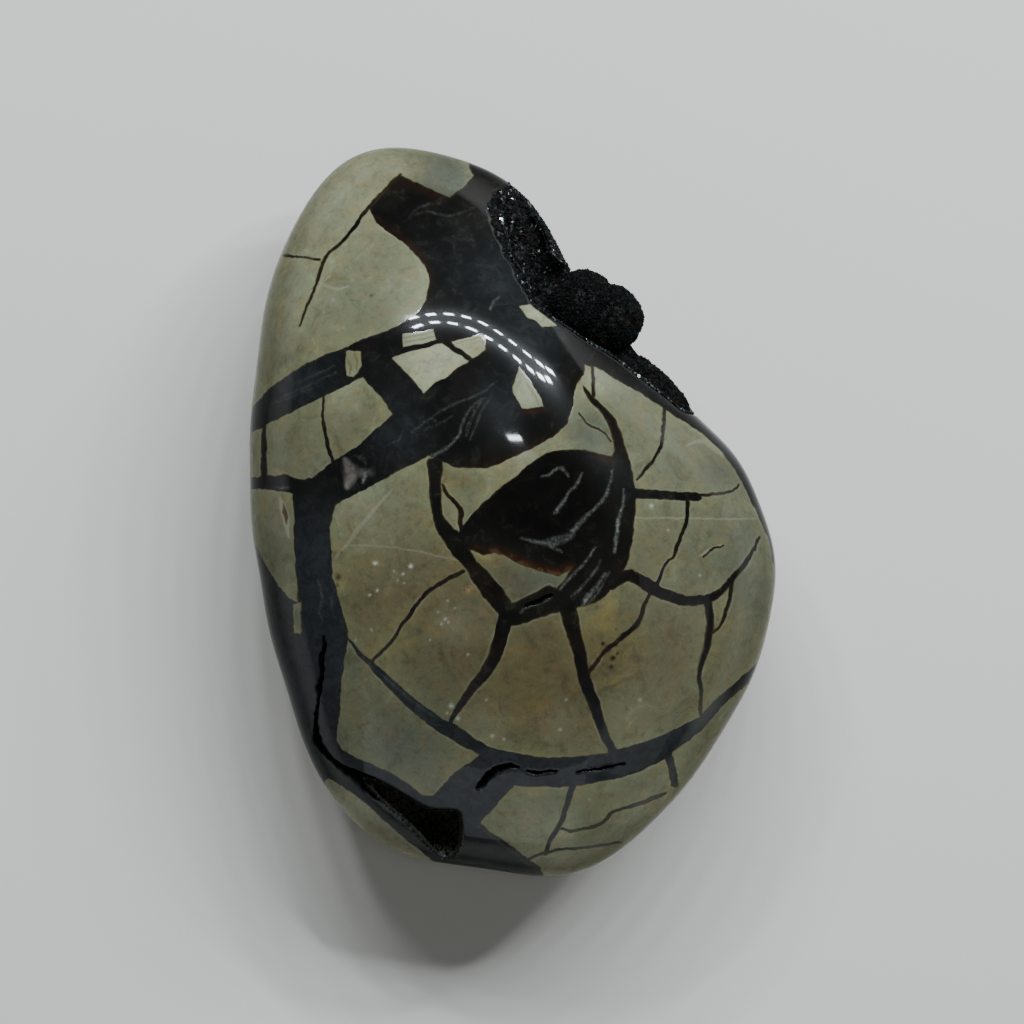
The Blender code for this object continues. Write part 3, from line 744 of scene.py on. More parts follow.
def hollow_floor(x, y):
    """Floor of the upper right hollow: it falls to the right and stays a little below the skin."""
    basin = HOLLOW_FLOOR + HOLLOW_FALL * (x - HOLLOW_CENTRE[0] * MM) + ripple(x, y, *HOLLOW_RIPPLE)
    return np.minimum(basin, front_height(x, y) - HOLLOW_RIM_DEPTH)


def cavity_floor(x, y):
    """Floor of the lower cavity: deepest at its wide end, and shallow towards its narrow one."""
    away = np.hypot(x - CAVITY_CENTRE[0] * MM, y - CAVITY_CENTRE[1] * MM)
    basin = CAVITY_FLOOR + CAVITY_SLOPE * away + ripple(x, y, *CAVITY_RIPPLE)
    return np.minimum(basin, front_height(x, y) - HOLLOW_RIM_DEPTH)


# Noise

NOISE_CELLS = 32
NOISE_SEED = 7
NOISE_TABLE = np.random.default_rng(NOISE_SEED).random((NOISE_CELLS,) * 3)


def eased(share):
    """A share from 0 to 1, with a soft start and end."""
    return share * share * (3 - 2 * share)


def value_noise(points, size, phase=0.0):
    """Smooth noise from -1 to 1 with features of the given size."""
    place = points / size + phase
    cell = np.floor(place).astype(int)
    t = eased(place - cell)
    total = np.zeros(len(points))
    for corner in np.ndindex(2, 2, 2):
        index = (cell + corner) % NOISE_CELLS
        weight = np.prod(np.where(corner, t, 1 - t), axis=1)
        total += weight * NOISE_TABLE[index[:, 0], index[:, 1], index[:, 2]]
    return 2 * total - 1


def uneven(points, share, size, phase):
    """A factor about 1 that changes smoothly from place to place by up to a share."""
    return 1 + share * value_noise(points, size, phase)


def wandering(places, points, waves):
    """Places moved a little by smooth noise, which makes the borders and marks there uneven."""
    for far, size, phase_x, phase_y in waves:
        noise = np.stack([value_noise(points, size, phase_x), value_noise(points, size, phase_y)], axis=1)
        places = places + far * noise
    return places


# Fields: signed distances from a point to an outline or a route, negative inside

def to_picture(points):
    """Picture points of points of the stone, as the camera above it sees them."""
    depth = CAMERA_DISTANCE - (points[:, 2] - WIDEST_LEVEL)
    scale = CAMERA_DISTANCE / depth / (MM_PER_POINT * MM)
    return np.stack([FRAME_CENTRE + points[:, 0] * scale, FRAME_CENTRE - points[:, 1] * scale], axis=1)


def within(x, y, corners, margin):
    """Indices of the places inside the box around some corners, with a margin."""
    (x0, y0), (x1, y1) = corners.min(axis=0) - margin, corners.max(axis=0) + margin
    return np.flatnonzero((x >= x0) & (x <= x1) & (y >= y0) & (y <= y1))


def route_field(places, route, reach=REACH):
    """Distance from each place to the band along a route of (x, y, width), negative inside it."""
    route = np.array(route, dtype=float)
    margin = reach + 0.5 * route[:, 2].max()
    around = within(places[:, 0], places[:, 1], route[:, :2], margin)
    x, y = places[around, 0], places[around, 1]
    nearest = np.full(len(around), reach)
    for start, end in zip(route, route[1:]):
        near = within(x, y, np.array((start[:2], end[:2])), margin)
        step_x, step_y = end[:2] - start[:2]
        off_x, off_y = x[near] - start[0], y[near] - start[1]
        along = np.clip((off_x * step_x + off_y * step_y) / max(step_x**2 + step_y**2, 1e-12), 0, 1)
        away = np.hypot(off_x - along * step_x, off_y - along * step_y)
        nearest[near] = np.minimum(nearest[near], away - 0.5 * (start[2] + (end[2] - start[2]) * along))
    field = np.full(len(places), reach)
    field[around] = nearest
    return field


def outline_field(places, outline, reach=REACH):
    """Distance from each place to a closed outline, negative inside it."""
    corners = np.array(outline, dtype=float)
    ring = np.vstack([corners, corners[:1]])
    away = route_field(places, np.column_stack([ring, np.zeros(len(ring))]), reach)
    around = within(places[:, 0], places[:, 1], corners, 0)
    x, y = places[around, 0], places[around, 1]
    inside = np.zeros(len(around), dtype=bool)
    for (x0, y0), (x1, y1) in zip(ring, ring[1:]):
        if y0 != y1:
            inside ^= ((y > y0) != (y > y1)) & (x < x0 + (y - y0) * (x1 - x0) / (y1 - y0))
    away[around[inside]] *= -1
    return away


def vein_field(points):
    """Distance in millimetres to the nearest vein border, negative in calcite."""
    field = np.zeros(len(points))
    depth = RIM_BLEND * uneven(points, *RIM_BLEND_WAVE)
    front = points[:, 2] > WIDEST_LEVEL - depth
    back = points[:, 2] < WIDEST_LEVEL
    below = eased(np.clip((WIDEST_LEVEL - points[:, 2]) / depth, 0, 1))
    field[front] = front_field(points[front]) * (1 - below[front])
    field[back] += back_field(points[back]) * below[back]
    return field


def front_field(points):
    """The same for the front alone, from its vein map."""
    places = wandering(to_picture(points), points, VEIN_WANDER)
    field = outline_field(places, CALCITE_REGION)
    for outline in (ARC_VEIN, RING_AND_EYE):
        field = np.minimum(field, outline_field(places, closed_curve(outline, 2)))
    for outline in PANELS.values():
        field = np.maximum(field, -outline_field(places, outline))
    for route in VEINS.values():
        field = np.minimum(field, route_field(places, open_curve(route, 4)))
    return field * MM_PER_POINT


def back_field(points):
    """The same for the back alone, whose panels meet along veins halfway between their middles."""
    plan = wandering(points[:, :2] / MM, points, BACK_WANDER)
    middles = np.array(BACK_PANELS)
    squares = ((plan[:, None, :] - middles[None]) ** 2).sum(axis=2)
    nearest = squares.argmin(axis=1)
    field = np.full(len(points), NO_PANEL)
    for index, middle in enumerate(middles):
        gap = np.hypot(*(middles[nearest] - middle).T)
        away = (squares[:, index] - squares[np.arange(len(points)), nearest]) / (2 * np.maximum(gap, 1e-9))
        away[nearest == index] = NO_PANEL
        field = np.minimum(field, away)
    width = BACK_VEIN_MM * uneven(points, *BACK_VEIN_WAVE)
    return np.clip(field - 0.5 * width, -REACH * MM_PER_POINT, REACH * MM_PER_POINT)


def streak_strength(places, streaks, softness):
    """Strength from 0 to 1 at each place of a set of soft streaks."""
    total = np.zeros(len(places))
    for strength, route in streaks:
        field = route_field(places, open_curve(route, 3))
        total = np.maximum(total, strength * np.clip(0.5 - field / (2 * softness), 0, 1))
    return total


def blob_strength(places, blobs):
    """Strength from 0 up at each place of a set of round soft spots."""
    total = np.zeros(len(places))
    for x, y, radius, strength in blobs:
        near = within(places[:, 0], places[:, 1], np.array([(x, y)]), 3 * radius)
        squares = ((places[near] - (x, y)) ** 2).sum(axis=1)
        total[near] += strength * np.exp(-squares / radius**2)
    return total


def fine_detail(points):
    """Distance in millimetres to the nearest thin streak or fleck of the front, for the refinement."""
    places = to_picture(points)
    nearest = np.full(len(points), REACH)
    for _, route in PALE_STREAKS + SCRATCHES + CHIP_STRIPES:
        nearest = np.minimum(nearest, np.abs(route_field(places, open_curve(route, 3))))
    for x, y, radius, _ in LIGHT_FLECKS + DARK_FLECKS:
        away = np.hypot(places[:, 0] - x, places[:, 1] - y)
        nearest = np.minimum(nearest, np.maximum(away - radius, 0))
    return nearest * MM_PER_POINT


def crack_field(points):
    """Distance in millimetres to the nearest open crack or small hole of the front, negative inside."""
    places = wandering(to_picture(points), points, CRACK_WANDER)
    field = np.full(len(points), REACH)
    for route in OPEN_CRACKS.values():
        field = np.minimum(field, route_field(places, open_curve(route, 4)))
    return np.where(points[:, 2] > WIDEST_LEVEL, field * MM_PER_POINT, NO_CRACK)


def mouth_field(points):
    """Distance in millimetres to the mouths of the hollow and the cavity, negative where they are open."""
    plan = points[:, :2] / MM
    nearest = np.full(len(points), NO_MOUTH)
    for mouth, floor in ((HOLLOW_MOUTH, hollow_floor), (CAVITY_MOUTH, cavity_floor)):
        field = outline_field(plan, closed_curve(mouth, 3), MOUTH_REACH)
        near = np.flatnonzero((field < MOUTH_REACH) & (points[:, 2] > WIDEST_LEVEL - RIM_BLEND))
        x, y, z = points[near].T
        nearest[near] = np.minimum(nearest[near], np.maximum(field[near], (floor(x, y) - z) / MM))
    return nearest


def flank_field(points):
    """Distance in millimetres to the crystals' part of the flank beside the hollow, negative inside."""
    places = wandering(to_picture(points), points, FLANK_WANDER)
    field = outline_field(places, DRUSE_FLANK) * MM_PER_POINT
    height, size, phase = FLANK_LEVEL_WAVE
    level = DRUSE_FLANK_LEVEL + height * value_noise(points, size, phase)
    return np.maximum(field, (level - points[:, 2]) / MM)


BORDER_FIELDS = {"vein": vein_field, "crack": crack_field, "mouth": mouth_field, "flank": flank_field}


# Meshes as arrays of points and triangles

def cube_sphere(cells):
    """Unit directions and triangles of a sphere that is divided like a cube."""
    steps = np.arange(cells + 1)
    a, b = np.meshgrid(steps, steps, indexing="ij")
    lattice, faces = [], []
    grid = np.arange((cells + 1) ** 2).reshape(cells + 1, cells + 1)
    quads = np.stack([grid[:-1, :-1], grid[1:, :-1], grid[1:, 1:], grid[:-1, 1:]], axis=-1).reshape(-1, 4)
    for axis in range(3):
        for side in (0, cells):
            face = np.zeros((cells + 1, cells + 1, 3), dtype=int)
            face[..., axis] = side
            face[..., (axis + 1) % 3] = a
            face[..., (axis + 2) % 3] = b
            turned = quads if side else quads[:, ::-1]
            faces.append(turned + len(faces) * (cells + 1) ** 2)
            lattice.append(face.reshape(-1, 3))
    points, index = np.unique(np.vstack(lattice), axis=0, return_inverse=True)
    quads = index.reshape(-1)[np.vstack(faces)]
    even = np.tan((points / cells * 2 - 1) * math.pi / 4)
    triangles = np.vstack([quads[:, [0, 1, 2]], quads[:, [0, 2, 3]]])
    return even / np.linalg.norm(even, axis=1)[:, None], triangles


def triangle_edges(triangles):
    """Unique edges, and for each triangle the indices of its three edges."""
    start, end = triangles.reshape(-1), np.roll(triangles, -1, axis=1).reshape(-1)
    count = triangles.max() + 1
    keys, index = np.unique(np.minimum(start, end) * count + np.maximum(start, end), return_inverse=True)
    return np.column_stack([keys // count, keys % count]), index.reshape(-1, 3)


def divide(triangles, edge_index, new_point):
    """Triangles after each edge that has a new point (or -1) is divided there."""
    split = new_point[edge_index]
    parts = [triangles[(split < 0).all(axis=1)]]
    for turn in range(3):
        tri, mid = np.roll(triangles, -turn, axis=1), np.roll(split, -turn, axis=1)
        one = (mid[:, 0] >= 0) & (mid[:, 1] < 0) & (mid[:, 2] < 0)
        v, m = tri[one], mid[one]
        parts += [np.column_stack([v[:, 0], m[:, 0], v[:, 2]]), np.column_stack([m[:, 0], v[:, 1], v[:, 2]])]
        two = (mid[:, 0] >= 0) & (mid[:, 1] >= 0) & (mid[:, 2] < 0)
        v, m = tri[two], mid[two]
        parts += [
            np.column_stack([m[:, 0], v[:, 1], m[:, 1]]),
            np.column_stack([v[:, 0], m[:, 0], m[:, 1]]),
            np.column_stack([v[:, 0], m[:, 1], v[:, 2]]),
        ]
    three = (split >= 0).all(axis=1)
    v, m = triangles[three], split[three]
    parts += [
        np.column_stack([v[:, 0], m[:, 0], m[:, 2]]),
        np.column_stack([m[:, 0], v[:, 1], m[:, 1]]),
        np.column_stack([m[:, 2], m[:, 1], v[:, 2]]),
        m,
    ]
    return np.vstack(parts)


def refined_skin():
    """Directions and triangles of the skin, finer along every border."""
    directions, triangles = cube_sphere(SKIN_CELLS)
    for _ in range(REFINE_ROUNDS):
        points = stone_surface(directions)
        border = np.where(points[:, 2] > WIDEST_LEVEL, fine_detail(points), REACH * MM_PER_POINT)
        for field in BORDER_FIELDS.values():
            border = np.minimum(border, np.abs(field(points)))
        edges, edge_index = triangle_edges(triangles)
        length = np.linalg.norm(points[edges[:, 0]] - points[edges[:, 1]], axis=1) / MM
        near = border[edges].min(axis=1) < REFINE_SHARE * length
        back = points[edges, 2].max(axis=1) < WIDEST_LEVEL - BACK_START
        near &= length > np.where(back, BACK_EDGE_MM, FRONT_EDGE_MM)
        new_point = np.full(len(edges), -1)
        new_point[near] = len(directions) + np.arange(near.sum())
        middle = directions[edges[near]].mean(axis=1)
        directions = np.vstack([directions, middle / np.linalg.norm(middle, axis=1)[:, None]])
        triangles = divide(triangles, edge_index, new_point)
    return directions, triangles


def cut(points, triangles, values, columns):
    """Cuts a mesh where values cross zero. Returns points, columns, and the triangles on each side."""
    edges, edge_index = triangle_edges(triangles)
    v0, v1 = values[edges[:, 0]], values[edges[:, 1]]
    crossed = (v0 < 0) != (v1 < 0)
    share = v0[crossed] / (v0[crossed] - v1[crossed])
    share = np.clip(share, CUT_MARGIN, 1 - CUT_MARGIN)[:, None]
    new_point = np.full(len(edges), -1)
    new_point[crossed] = len(points) + np.arange(crossed.sum())

    def extend(data):
        data = data.reshape(len(values), -1)
        mid = data[edges[crossed, 0]] * (1 - share) + data[edges[crossed, 1]] * share
        return np.vstack([data, mid])

    points = extend(points)
    columns = {name: extend(data)[:, 0] for name, data in columns.items()}
    side = np.concatenate([np.sign(values), np.zeros(crossed.sum())])
    triangles = divide(triangles, edge_index, new_point)
    negative = side[triangles].sum(axis=1) < 0
    return points, columns, triangles[negative], triangles[~negative]


def point_normals(points, triangles):
    """Unit normals of the points of a mesh."""
    a, b, c = points[triangles[:, 0]], points[triangles[:, 1]], points[triangles[:, 2]]
    flat = np.cross(b - a, c - a)
    normals = np.zeros_like(points)
    for corner in range(3):
        np.add.at(normals, triangles[:, corner], flat)
    return normals / np.maximum(np.linalg.norm(normals, axis=1), 1e-20)[:, None]


def new_piece(name, points, triangles, material, slot, columns=None, normals=None, smooth=True):
    """A mesh object that rides on the stone and stands for its solid."""
    used, index = np.unique(triangles, return_inverse=True)
    triangles = index.reshape(-1, 3)
    mesh = bpy.data.meshes.new(name)
    mesh.from_pydata(points[used].tolist(), [], triangles.tolist())
    mesh.polygons.foreach_set("use_smooth", [smooth] * len(triangles))
    for label, values in (columns or {}).items():
        attribute = mesh.attributes.new(label, "FLOAT", "POINT")
        attribute.data.foreach_set("value", values[used].astype(np.float32))
    if normals is not None:
        mesh.normals_split_custom_set_from_vertices(normals[used].tolist())
    mesh.materials.append(material)
    piece = bpy.data.objects.new(name, mesh)
    bpy.context.scene.collection.objects.link(piece)
    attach(piece, "root")
    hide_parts("nodule")


# Materials

# Gloss of the polish where it faces the eye and where it turns away, and the facing over which it fades
POLISH_GLOSS = (0.5, 0.012)
POLISH_FADE = (0.16, 0.56)


class Nodes:
    """A short way to add and join shader nodes."""

    def __init__(self, name):
        self.material = bpy.data.materials.new(name)
        self.material.use_nodes = True
        self.tree = self.material.node_tree
        self.shader = self.tree.nodes["Principled BSDF"]

    def link(self, source, target):
        """Joins a socket to an input, or sets the input to a plain value."""
        if hasattr(source, "links"):
            self.tree.links.new(source, target)
        else:
            target.default_value = source

    def add(self, kind, inputs=None, **settings):
        """A new node with its settings and inputs."""
        node = self.tree.nodes.new(kind)
        for name, value in settings.items():
            setattr(node, name, value)
        for name, value in (inputs or {}).items():
            self.link(value, node.inputs[name])
        return node

    def attribute(self, name):
        """A weight that the mesh carries at each point."""
        return self.add("ShaderNodeAttribute", attribute_name=name).outputs["Fac"]

    def place(self):
        """The place on the stone, in metres."""
        return self.add("ShaderNodeTexCoord").outputs["Object"]

    def noise(self, scale, detail=3.0, roughness=0.55, distortion=0.0):
        """Noise over the stone, with a number of waves to the metre."""
        inputs = {"Vector": self.place(), "Scale": scale, "Detail": detail, "Roughness": roughness,
                  "Distortion": distortion}
        return self.add("ShaderNodeTexNoise", inputs).outputs["Fac"]

    def math(self, operation, a, b):
        """The result of an operation on two values."""
        return self.add("ShaderNodeMath", {0: a, 1: b}, operation=operation).outputs[0]

    def times(self, product, *factors):
        """The product of several values."""
        for factor in factors:
            product = self.math("MULTIPLY", product, factor)
        return product

    def ramp(self, value, low, high, start=0.0, end=1.0):
        """A value that changes softly from start, where the given one is low, to end, where it is high."""
        inputs = {"Value": value, "From Min": low, "From Max": high, "To Min": start, "To Max": end}
        node = self.add("ShaderNodeMapRange", inputs, interpolation_type="SMOOTHSTEP", clamp=True)
        return node.outputs["Result"]

    def mix(self, factor, a, b, blend="MIX"):
        """Colour a, mixed by a factor with colour b."""
        node = self.add("ShaderNodeMix", data_type="RGBA", blend_type=blend)
        colours = [socket for socket in node.inputs if socket.type == "RGBA"]
        self.link(factor, node.inputs["Factor"])
        for socket, value in zip(colours, (a, b)):
            self.link((*value, 1.0) if isinstance(value, tuple) else value, socket)
        return [socket for socket in node.outputs if socket.type == "RGBA"][0]

    def marks(self, colour, table, noises):
        """A colour with marks on it, from rows of (weight, noise that breaks it up, low, high, colour)."""
        for weight, noise, low, high, mark in table:
            broken = self.times(self.attribute(weight), self.ramp(noises[noise], low, high))
            colour = self.mix(broken, colour, mark)
        return colour

    def polish(self, haze, dull=0.0):
        """A polish with a faint haze, weaker where the surface turns away and where it is dull."""
        facing = self.add("ShaderNodeLayerWeight", {"Blend": 0.5}).outputs["Facing"]
        bright = self.math("SUBTRACT", 1.0, dull)
        for label, most, least in (("Specular IOR Level", *POLISH_GLOSS), ("Coat Weight", haze, 0.0)):
            gloss = self.ramp(facing, *POLISH_FADE, most, least)
            self.link(self.times(gloss, bright), self.shader.inputs[label])

    def finish(self, colour, roughness, height=None, depth=0.0, strength=1.0, **plain):
        """Sets the colour, the roughness, any bumps (height, depth, strength) and any plain inputs."""
        self.link(colour, self.shader.inputs["Base Color"])
        self.link(roughness, self.shader.inputs["Roughness"])
        for name, value in plain.items():
            self.shader.inputs[name.replace("_", " ")].default_value = value
        if height is not None:
            bump = self.add("ShaderNodeBump", {"Height": height, "Distance": depth, "Strength": strength})
            self.link(bump.outputs["Normal"], self.shader.inputs["Normal"])
        return self.material


# Colours of the mudstone: plain, and where its weights are full
MUDSTONE_BASE = (0.136, 0.1355, 0.080)
MUDSTONE_BROWN = (0.083, 0.070, 0.036)
MUDSTONE_PALE = (0.300, 0.306, 0.212)
MUDSTONE_DARK = (0.070, 0.074, 0.056)

# Its noises: (scale, detail, roughness, distortion)
MUDSTONE_NOISES = {
    "cloud": (45.0, 5.0, 0.6, 0.4),
    "blotch": (170.0, 6.0, 0.68, 0.9),
    "mottle": (560.0, 5.0, 0.72, 0.5),
    "grain": (2300.0, 3.0, 0.7, 0.0),
    "hue": (240.0, 3.0, 0.6, 0.0),
    "patch": (160.0, 3.0, 0.55, 0.0),
}

# Its mottling: (noise, low, high, most, tint that multiplies the colour)
MUDSTONE_MOTTLING = (
    ("cloud", 0.34, 0.66, 0.40, (1.30, 1.24, 1.10)),
    ("hue", 0.50, 0.68, 0.60, (1.16, 0.97, 0.84)),
    ("hue", 0.48, 0.32, 0.60, (0.94, 1.04, 1.02)),
    ("blotch", 0.50, 0.70, 0.60, (0.62, 0.59, 0.52)),
    ("blotch", 0.46, 0.30, 0.60, (1.40, 1.42, 1.38)),
    ("mottle", 0.50, 0.68, 0.60, (0.66, 0.63, 0.57)),
    ("mottle", 0.44, 0.32, 0.50, (1.35, 1.35, 1.30)),
    ("grain", 0.56, 0.70, 0.50, (1.50, 1.50, 1.45)),
)

# Its stains, and the flecks and scratches over them: (weight, noise that breaks it up, low, high, colour)
MUDSTONE_STAINS = (
    ("yellow", "blotch", 0.62, 0.40, (0.20, 0.155, 0.045)),
    ("rosy", "mottle", 0.60, 0.42, (0.25, 0.130, 0.075)),
)
MUDSTONE_FLECKS = (
    ("light_fleck", "grain", 0.30, 0.50, (0.50, 0.50, 0.42)),
    ("scratch", "mottle", 0.30, 0.48, (0.36, 0.36, 0.28)),
)

# Its borders along the veins: a lighter zone, paler patches near the edge, and the dark edge itself
ZONE_TINT = (1.18, 1.22, 1.12)
PATCH_COLOUR = (0.33, 0.32, 0.24)
DARK_EDGE = (0.055, 0.045, 0.024)

DARK_FLECK_COLOUR = (0.022, 0.014, 0.006)
STRIPE_COLOUR = (0.075, 0.046, 0.018)


def mudstone_material():
    """Polished grey-olive mudstone: mottled, stained and flecked, with lighter edges along the veins, and
    paler places that are partly painted light.
    """
    n = Nodes("polished_mudstone")
    noises = {name: n.noise(*settings) for name, settings in MUDSTONE_NOISES.items()}
    colour = n.mix(n.attribute("brown"), MUDSTONE_BASE, MUDSTONE_BROWN)
    # Paler places: partly the mudstone's own paler tone, partly painted light
    colour = n.mix(n.attribute("pale"), colour, MUDSTONE_PALE)
    colour = n.mix(n.attribute("dark"), colour, MUDSTONE_DARK)
    for noise, low, high, most, tint in MUDSTONE_MOTTLING:
        colour = n.mix(n.ramp(noises[noise], low, high, 0.0, most), colour, tint, "MULTIPLY")
    colour = n.marks(colour, MUDSTONE_STAINS, noises)
    border = n.attribute("border")
    zone = n.times(n.ramp(border, 0.8, 3.2, 1.0, 0.0), n.ramp(noises["cloud"], 0.36, 0.58, 0.15, 0.60))
    colour = n.mix(zone, colour, ZONE_TINT, "MULTIPLY")
    patches = n.times(n.ramp(border, 0.10, 0.75, 0.16, 0.0), n.ramp(noises["patch"], 0.40, 0.62))
    colour = n.mix(patches, colour, PATCH_COLOUR)
    colour = n.mix(n.ramp(border, 0.02, 0.24, 0.60, 0.0), colour, DARK_EDGE)
    colour = n.marks(colour, MUDSTONE_FLECKS, noises)
    colour = n.mix(n.attribute("dark_fleck"), colour, DARK_FLECK_COLOUR)
    colour = n.mix(n.attribute("stripe"), colour, STRIPE_COLOUR)
    n.polish(haze=0.08)
    roughness = n.ramp(noises["mottle"], 0.3, 0.7, 0.10, 0.20)
    return n.finish(colour, roughness, noises["mottle"], 0.00002, 0.12, IOR=1.45, Coat_Roughness=0.24)


# Colours of the calcite: plain black, clouded, and where its weights are full
BLACK_CALCITE = ((0.0030, 0.0029, 0.0022), (0.0078, 0.0070, 0.0052))
VEILED_CALCITE = (0.036, 0.034, 0.025)
# Bluish grey: on the front a painted sheen of reflection, on the back a grey tone
SLATE_SHEEN_CALCITE = ((0.0150, 0.0166, 0.0176), (0.0265, 0.0285, 0.0295))
MILKY_CALCITE = (0.066, 0.071, 0.056)
DEEP_CALCITE = (0.0010, 0.0010, 0.0006)
CLOUDY_CALCITE = (0.150, 0.128, 0.112)
AMBER_CALCITE = ((0.030, 0.010, 0.004), (0.072, 0.036, 0.013))
BROWN_EDGE = (0.045, 0.028, 0.012)
WISP_AND_HIGHLIGHT_COLOUR = (0.23, 0.235, 0.205)
BROKEN_AND_SHEEN_CALCITE = (0.055, 0.060, 0.056)
CRACK_SHADE_COLOUR = (0.003, 0.003, 0.0025)

# How much of the deep black colour and how little haze the deep calcite has
DEEP_SHARE = 0.65
DEEP_CLEARNESS = 0.8


def calcite_material():
    """Polished black calcite, with pale streaks (one a painted highlight), bluish grey parts that are mostly
    a painted sheen of reflection, and amber where light gets in.
    """
    n = Nodes("polished_calcite")
    cloud = n.noise(90.0, 5.0, 0.6)
    veil = n.noise(360.0, 5.0, 0.70, 0.7)
    thread = n.noise(1500.0, 4.0, 0.7, 0.6)
    border, deep, crack_shade = n.attribute("border"), n.attribute("deep"), n.attribute("crack_shade")
    colour = n.mix(n.ramp(cloud, 0.35, 0.7), *BLACK_CALCITE)
    colour = n.mix(n.ramp(veil, 0.52, 0.76, 0.0, 0.50), colour, VEILED_CALCITE)
    # Painted reflection: bluish grey where the front would show a sheen
    colour = n.mix(n.attribute("slate_and_sheen"), colour, n.mix(n.ramp(veil, 0.35, 0.65), *SLATE_SHEEN_CALCITE))
    colour = n.mix(n.attribute("milky"), colour, MILKY_CALCITE)
    colour = n.mix(n.times(deep, DEEP_SHARE), colour, DEEP_CALCITE)
    cloudy = n.times(n.attribute("cloudy"), n.ramp(veil, 0.32, 0.60, 0.45, 1.0))
    colour = n.mix(cloudy, colour, CLOUDY_CALCITE)
    inward = n.ramp(border, 0.0, AMBER_REACH_MM, 1.0, 0.0)
    warm = n.times(n.attribute("rust"), inward, n.ramp(veil, 0.30, 0.62, 0.45, 1.0))
    colour = n.mix(warm, colour, n.mix(n.ramp(warm, 0.45, 1.0), *AMBER_CALCITE))
    edge = n.times(n.ramp(border, 0.0, 0.45, 0.6, 0.0), n.ramp(cloud, 0.40, 0.6))
    colour = n.mix(edge, colour, BROWN_EDGE)
    # Pale streaks, and one painted highlight among them
    frayed = n.times(n.attribute("wisp_and_highlight"), n.ramp(thread, 0.40, 0.62, 0.25, 1.0))
    colour = n.mix(n.times(frayed, n.ramp(veil, 0.36, 0.58, 0.45, 1.0)), colour, WISP_AND_HIGHLIGHT_COLOUR)
    # Broken calcite beside the mouths, lighter: partly its own broken colour, partly a painted rim sheen
    broken = n.times(n.attribute("broken"), n.ramp(thread, 0.34, 0.50, 0.3, 0.9))
    colour = n.mix(broken, colour, BROKEN_AND_SHEEN_CALCITE)
    # Painted shade: the open cracks darkened to near black
    colour = n.mix(crack_shade, colour, CRACK_SHADE_COLOUR)
    n.polish(n.times(n.math("SUBTRACT", 1.0, n.times(deep, DEEP_CLEARNESS)), 0.20), dull=crack_shade)
    roughness = n.math("ADD", 0.042, n.times(crack_shade, 0.4))
    return n.finish(colour, roughness, veil, 0.000004, 0.08, IOR=1.48, Coat_Roughness=0.23)


# Colours of the druse: its bed, most crystals by their shade, the glinting ones as a painted glint, the
# brown ones, and the deep ones of the lower cavity in a brown that is partly painted light
BED_COLOURS = ((0.006, 0.0055, 0.005), (0.018, 0.017, 0.014))
CRYSTAL_COLOURS = ((0.0034, 0.0038, 0.0036), (0.0165, 0.0180, 0.0172))
PAINTED_GLINT_CRYSTAL = (0.16, 0.18, 0.17)
BROWN_CRYSTAL = (0.045, 0.020, 0.008)
LIT_BROWN_CRYSTAL = (0.105, 0.100, 0.070)


def bed_material():
    """Dark rough calcite under the crystals."""
    n = Nodes("druse_bed")
    colour = n.mix(n.ramp(n.noise(700.0, 4.0), 0.4, 0.7), *BED_COLOURS)
    return n.finish(colour, 0.4, n.noise(1400.0, 3.0), 0.0002, 0.6, Specular_IOR_Level=0.05)


def crystal_material():
    """Small glossy calcite crystals, most of them black and some brown; the glinting ones painted grey as a
    painted glint, and the deep ones of the lower cavity lighter brown as painted light.
    """
    n = Nodes("calcite_crystals")
    glint = n.attribute("glint")
    colour = n.mix(n.ramp(glint, 0.0, 0.8), *CRYSTAL_COLOURS)
    # Painted glint: the glinting crystals are painted grey as well as made glossier
    colour = n.mix(n.ramp(glint, 0.86, 1.15), colour, PAINTED_GLINT_CRYSTAL)
    colour = n.mix(n.ramp(n.noise(220.0, 3.0), 0.58, 0.72, 0.0, 0.4), colour, BROWN_CRYSTAL)
    # Painted light: the deep crystals of the lower cavity are painted a light brown
    colour = n.mix(n.attribute("lit_brown"), colour, LIT_BROWN_CRYSTAL)
    n.link(n.ramp(glint, 0.66, 1.0, 0.02, 0.80), n.shader.inputs["Specular IOR Level"])
    return n.finish(colour, n.ramp(glint, 0.60, 1.0, 0.36, 0.12), IOR=1.5)


# Pieces

SMOOTH_AXES = ("smooth_x", "smooth_y", "smooth_z")


def groove(distance, depth, reach):
    """Depth of a soft groove at a distance from its middle."""
    return depth * np.exp(-(distance / reach) ** 2)


def sinking(vein, crack, mouth, flank):
    """How far the skin is sunk along its borders, in millimetres, from the distances to them."""
    inside = np.clip(-crack, 0, None)
    sink = groove(vein, *VEIN_GROOVE) + CALCITE_SINK[0] * np.clip(-vein / CALCITE_SINK[1], 0, 1)
    sink += CRACK_SINK[0] * (1 - np.exp(-inside / CRACK_SINK[1])) + groove(crack, *CRACK_LIP)
    sink += groove(mouth, *MOUTH_LIP) + FLANK_SINK[0] * np.clip(0.5 - flank / FLANK_SINK[1], 0, 1)
    return sink


def sunk_skin():
    """Points and triangles of the skin, with columns of its border distances and smooth normals."""
    directions, triangles = refined_skin()
    points = stone_surface(directions)
    columns = {name: field(points) for name, field in BORDER_FIELDS.items()}
    points = points - point_normals(points, triangles) * (sinking(**columns) * MM)[:, None]
    points[:, 2] = np.maximum(points[:, 2], 0.0)
    return points, triangles, columns | dict(zip(SMOOTH_AXES, surface_normals(directions).T))


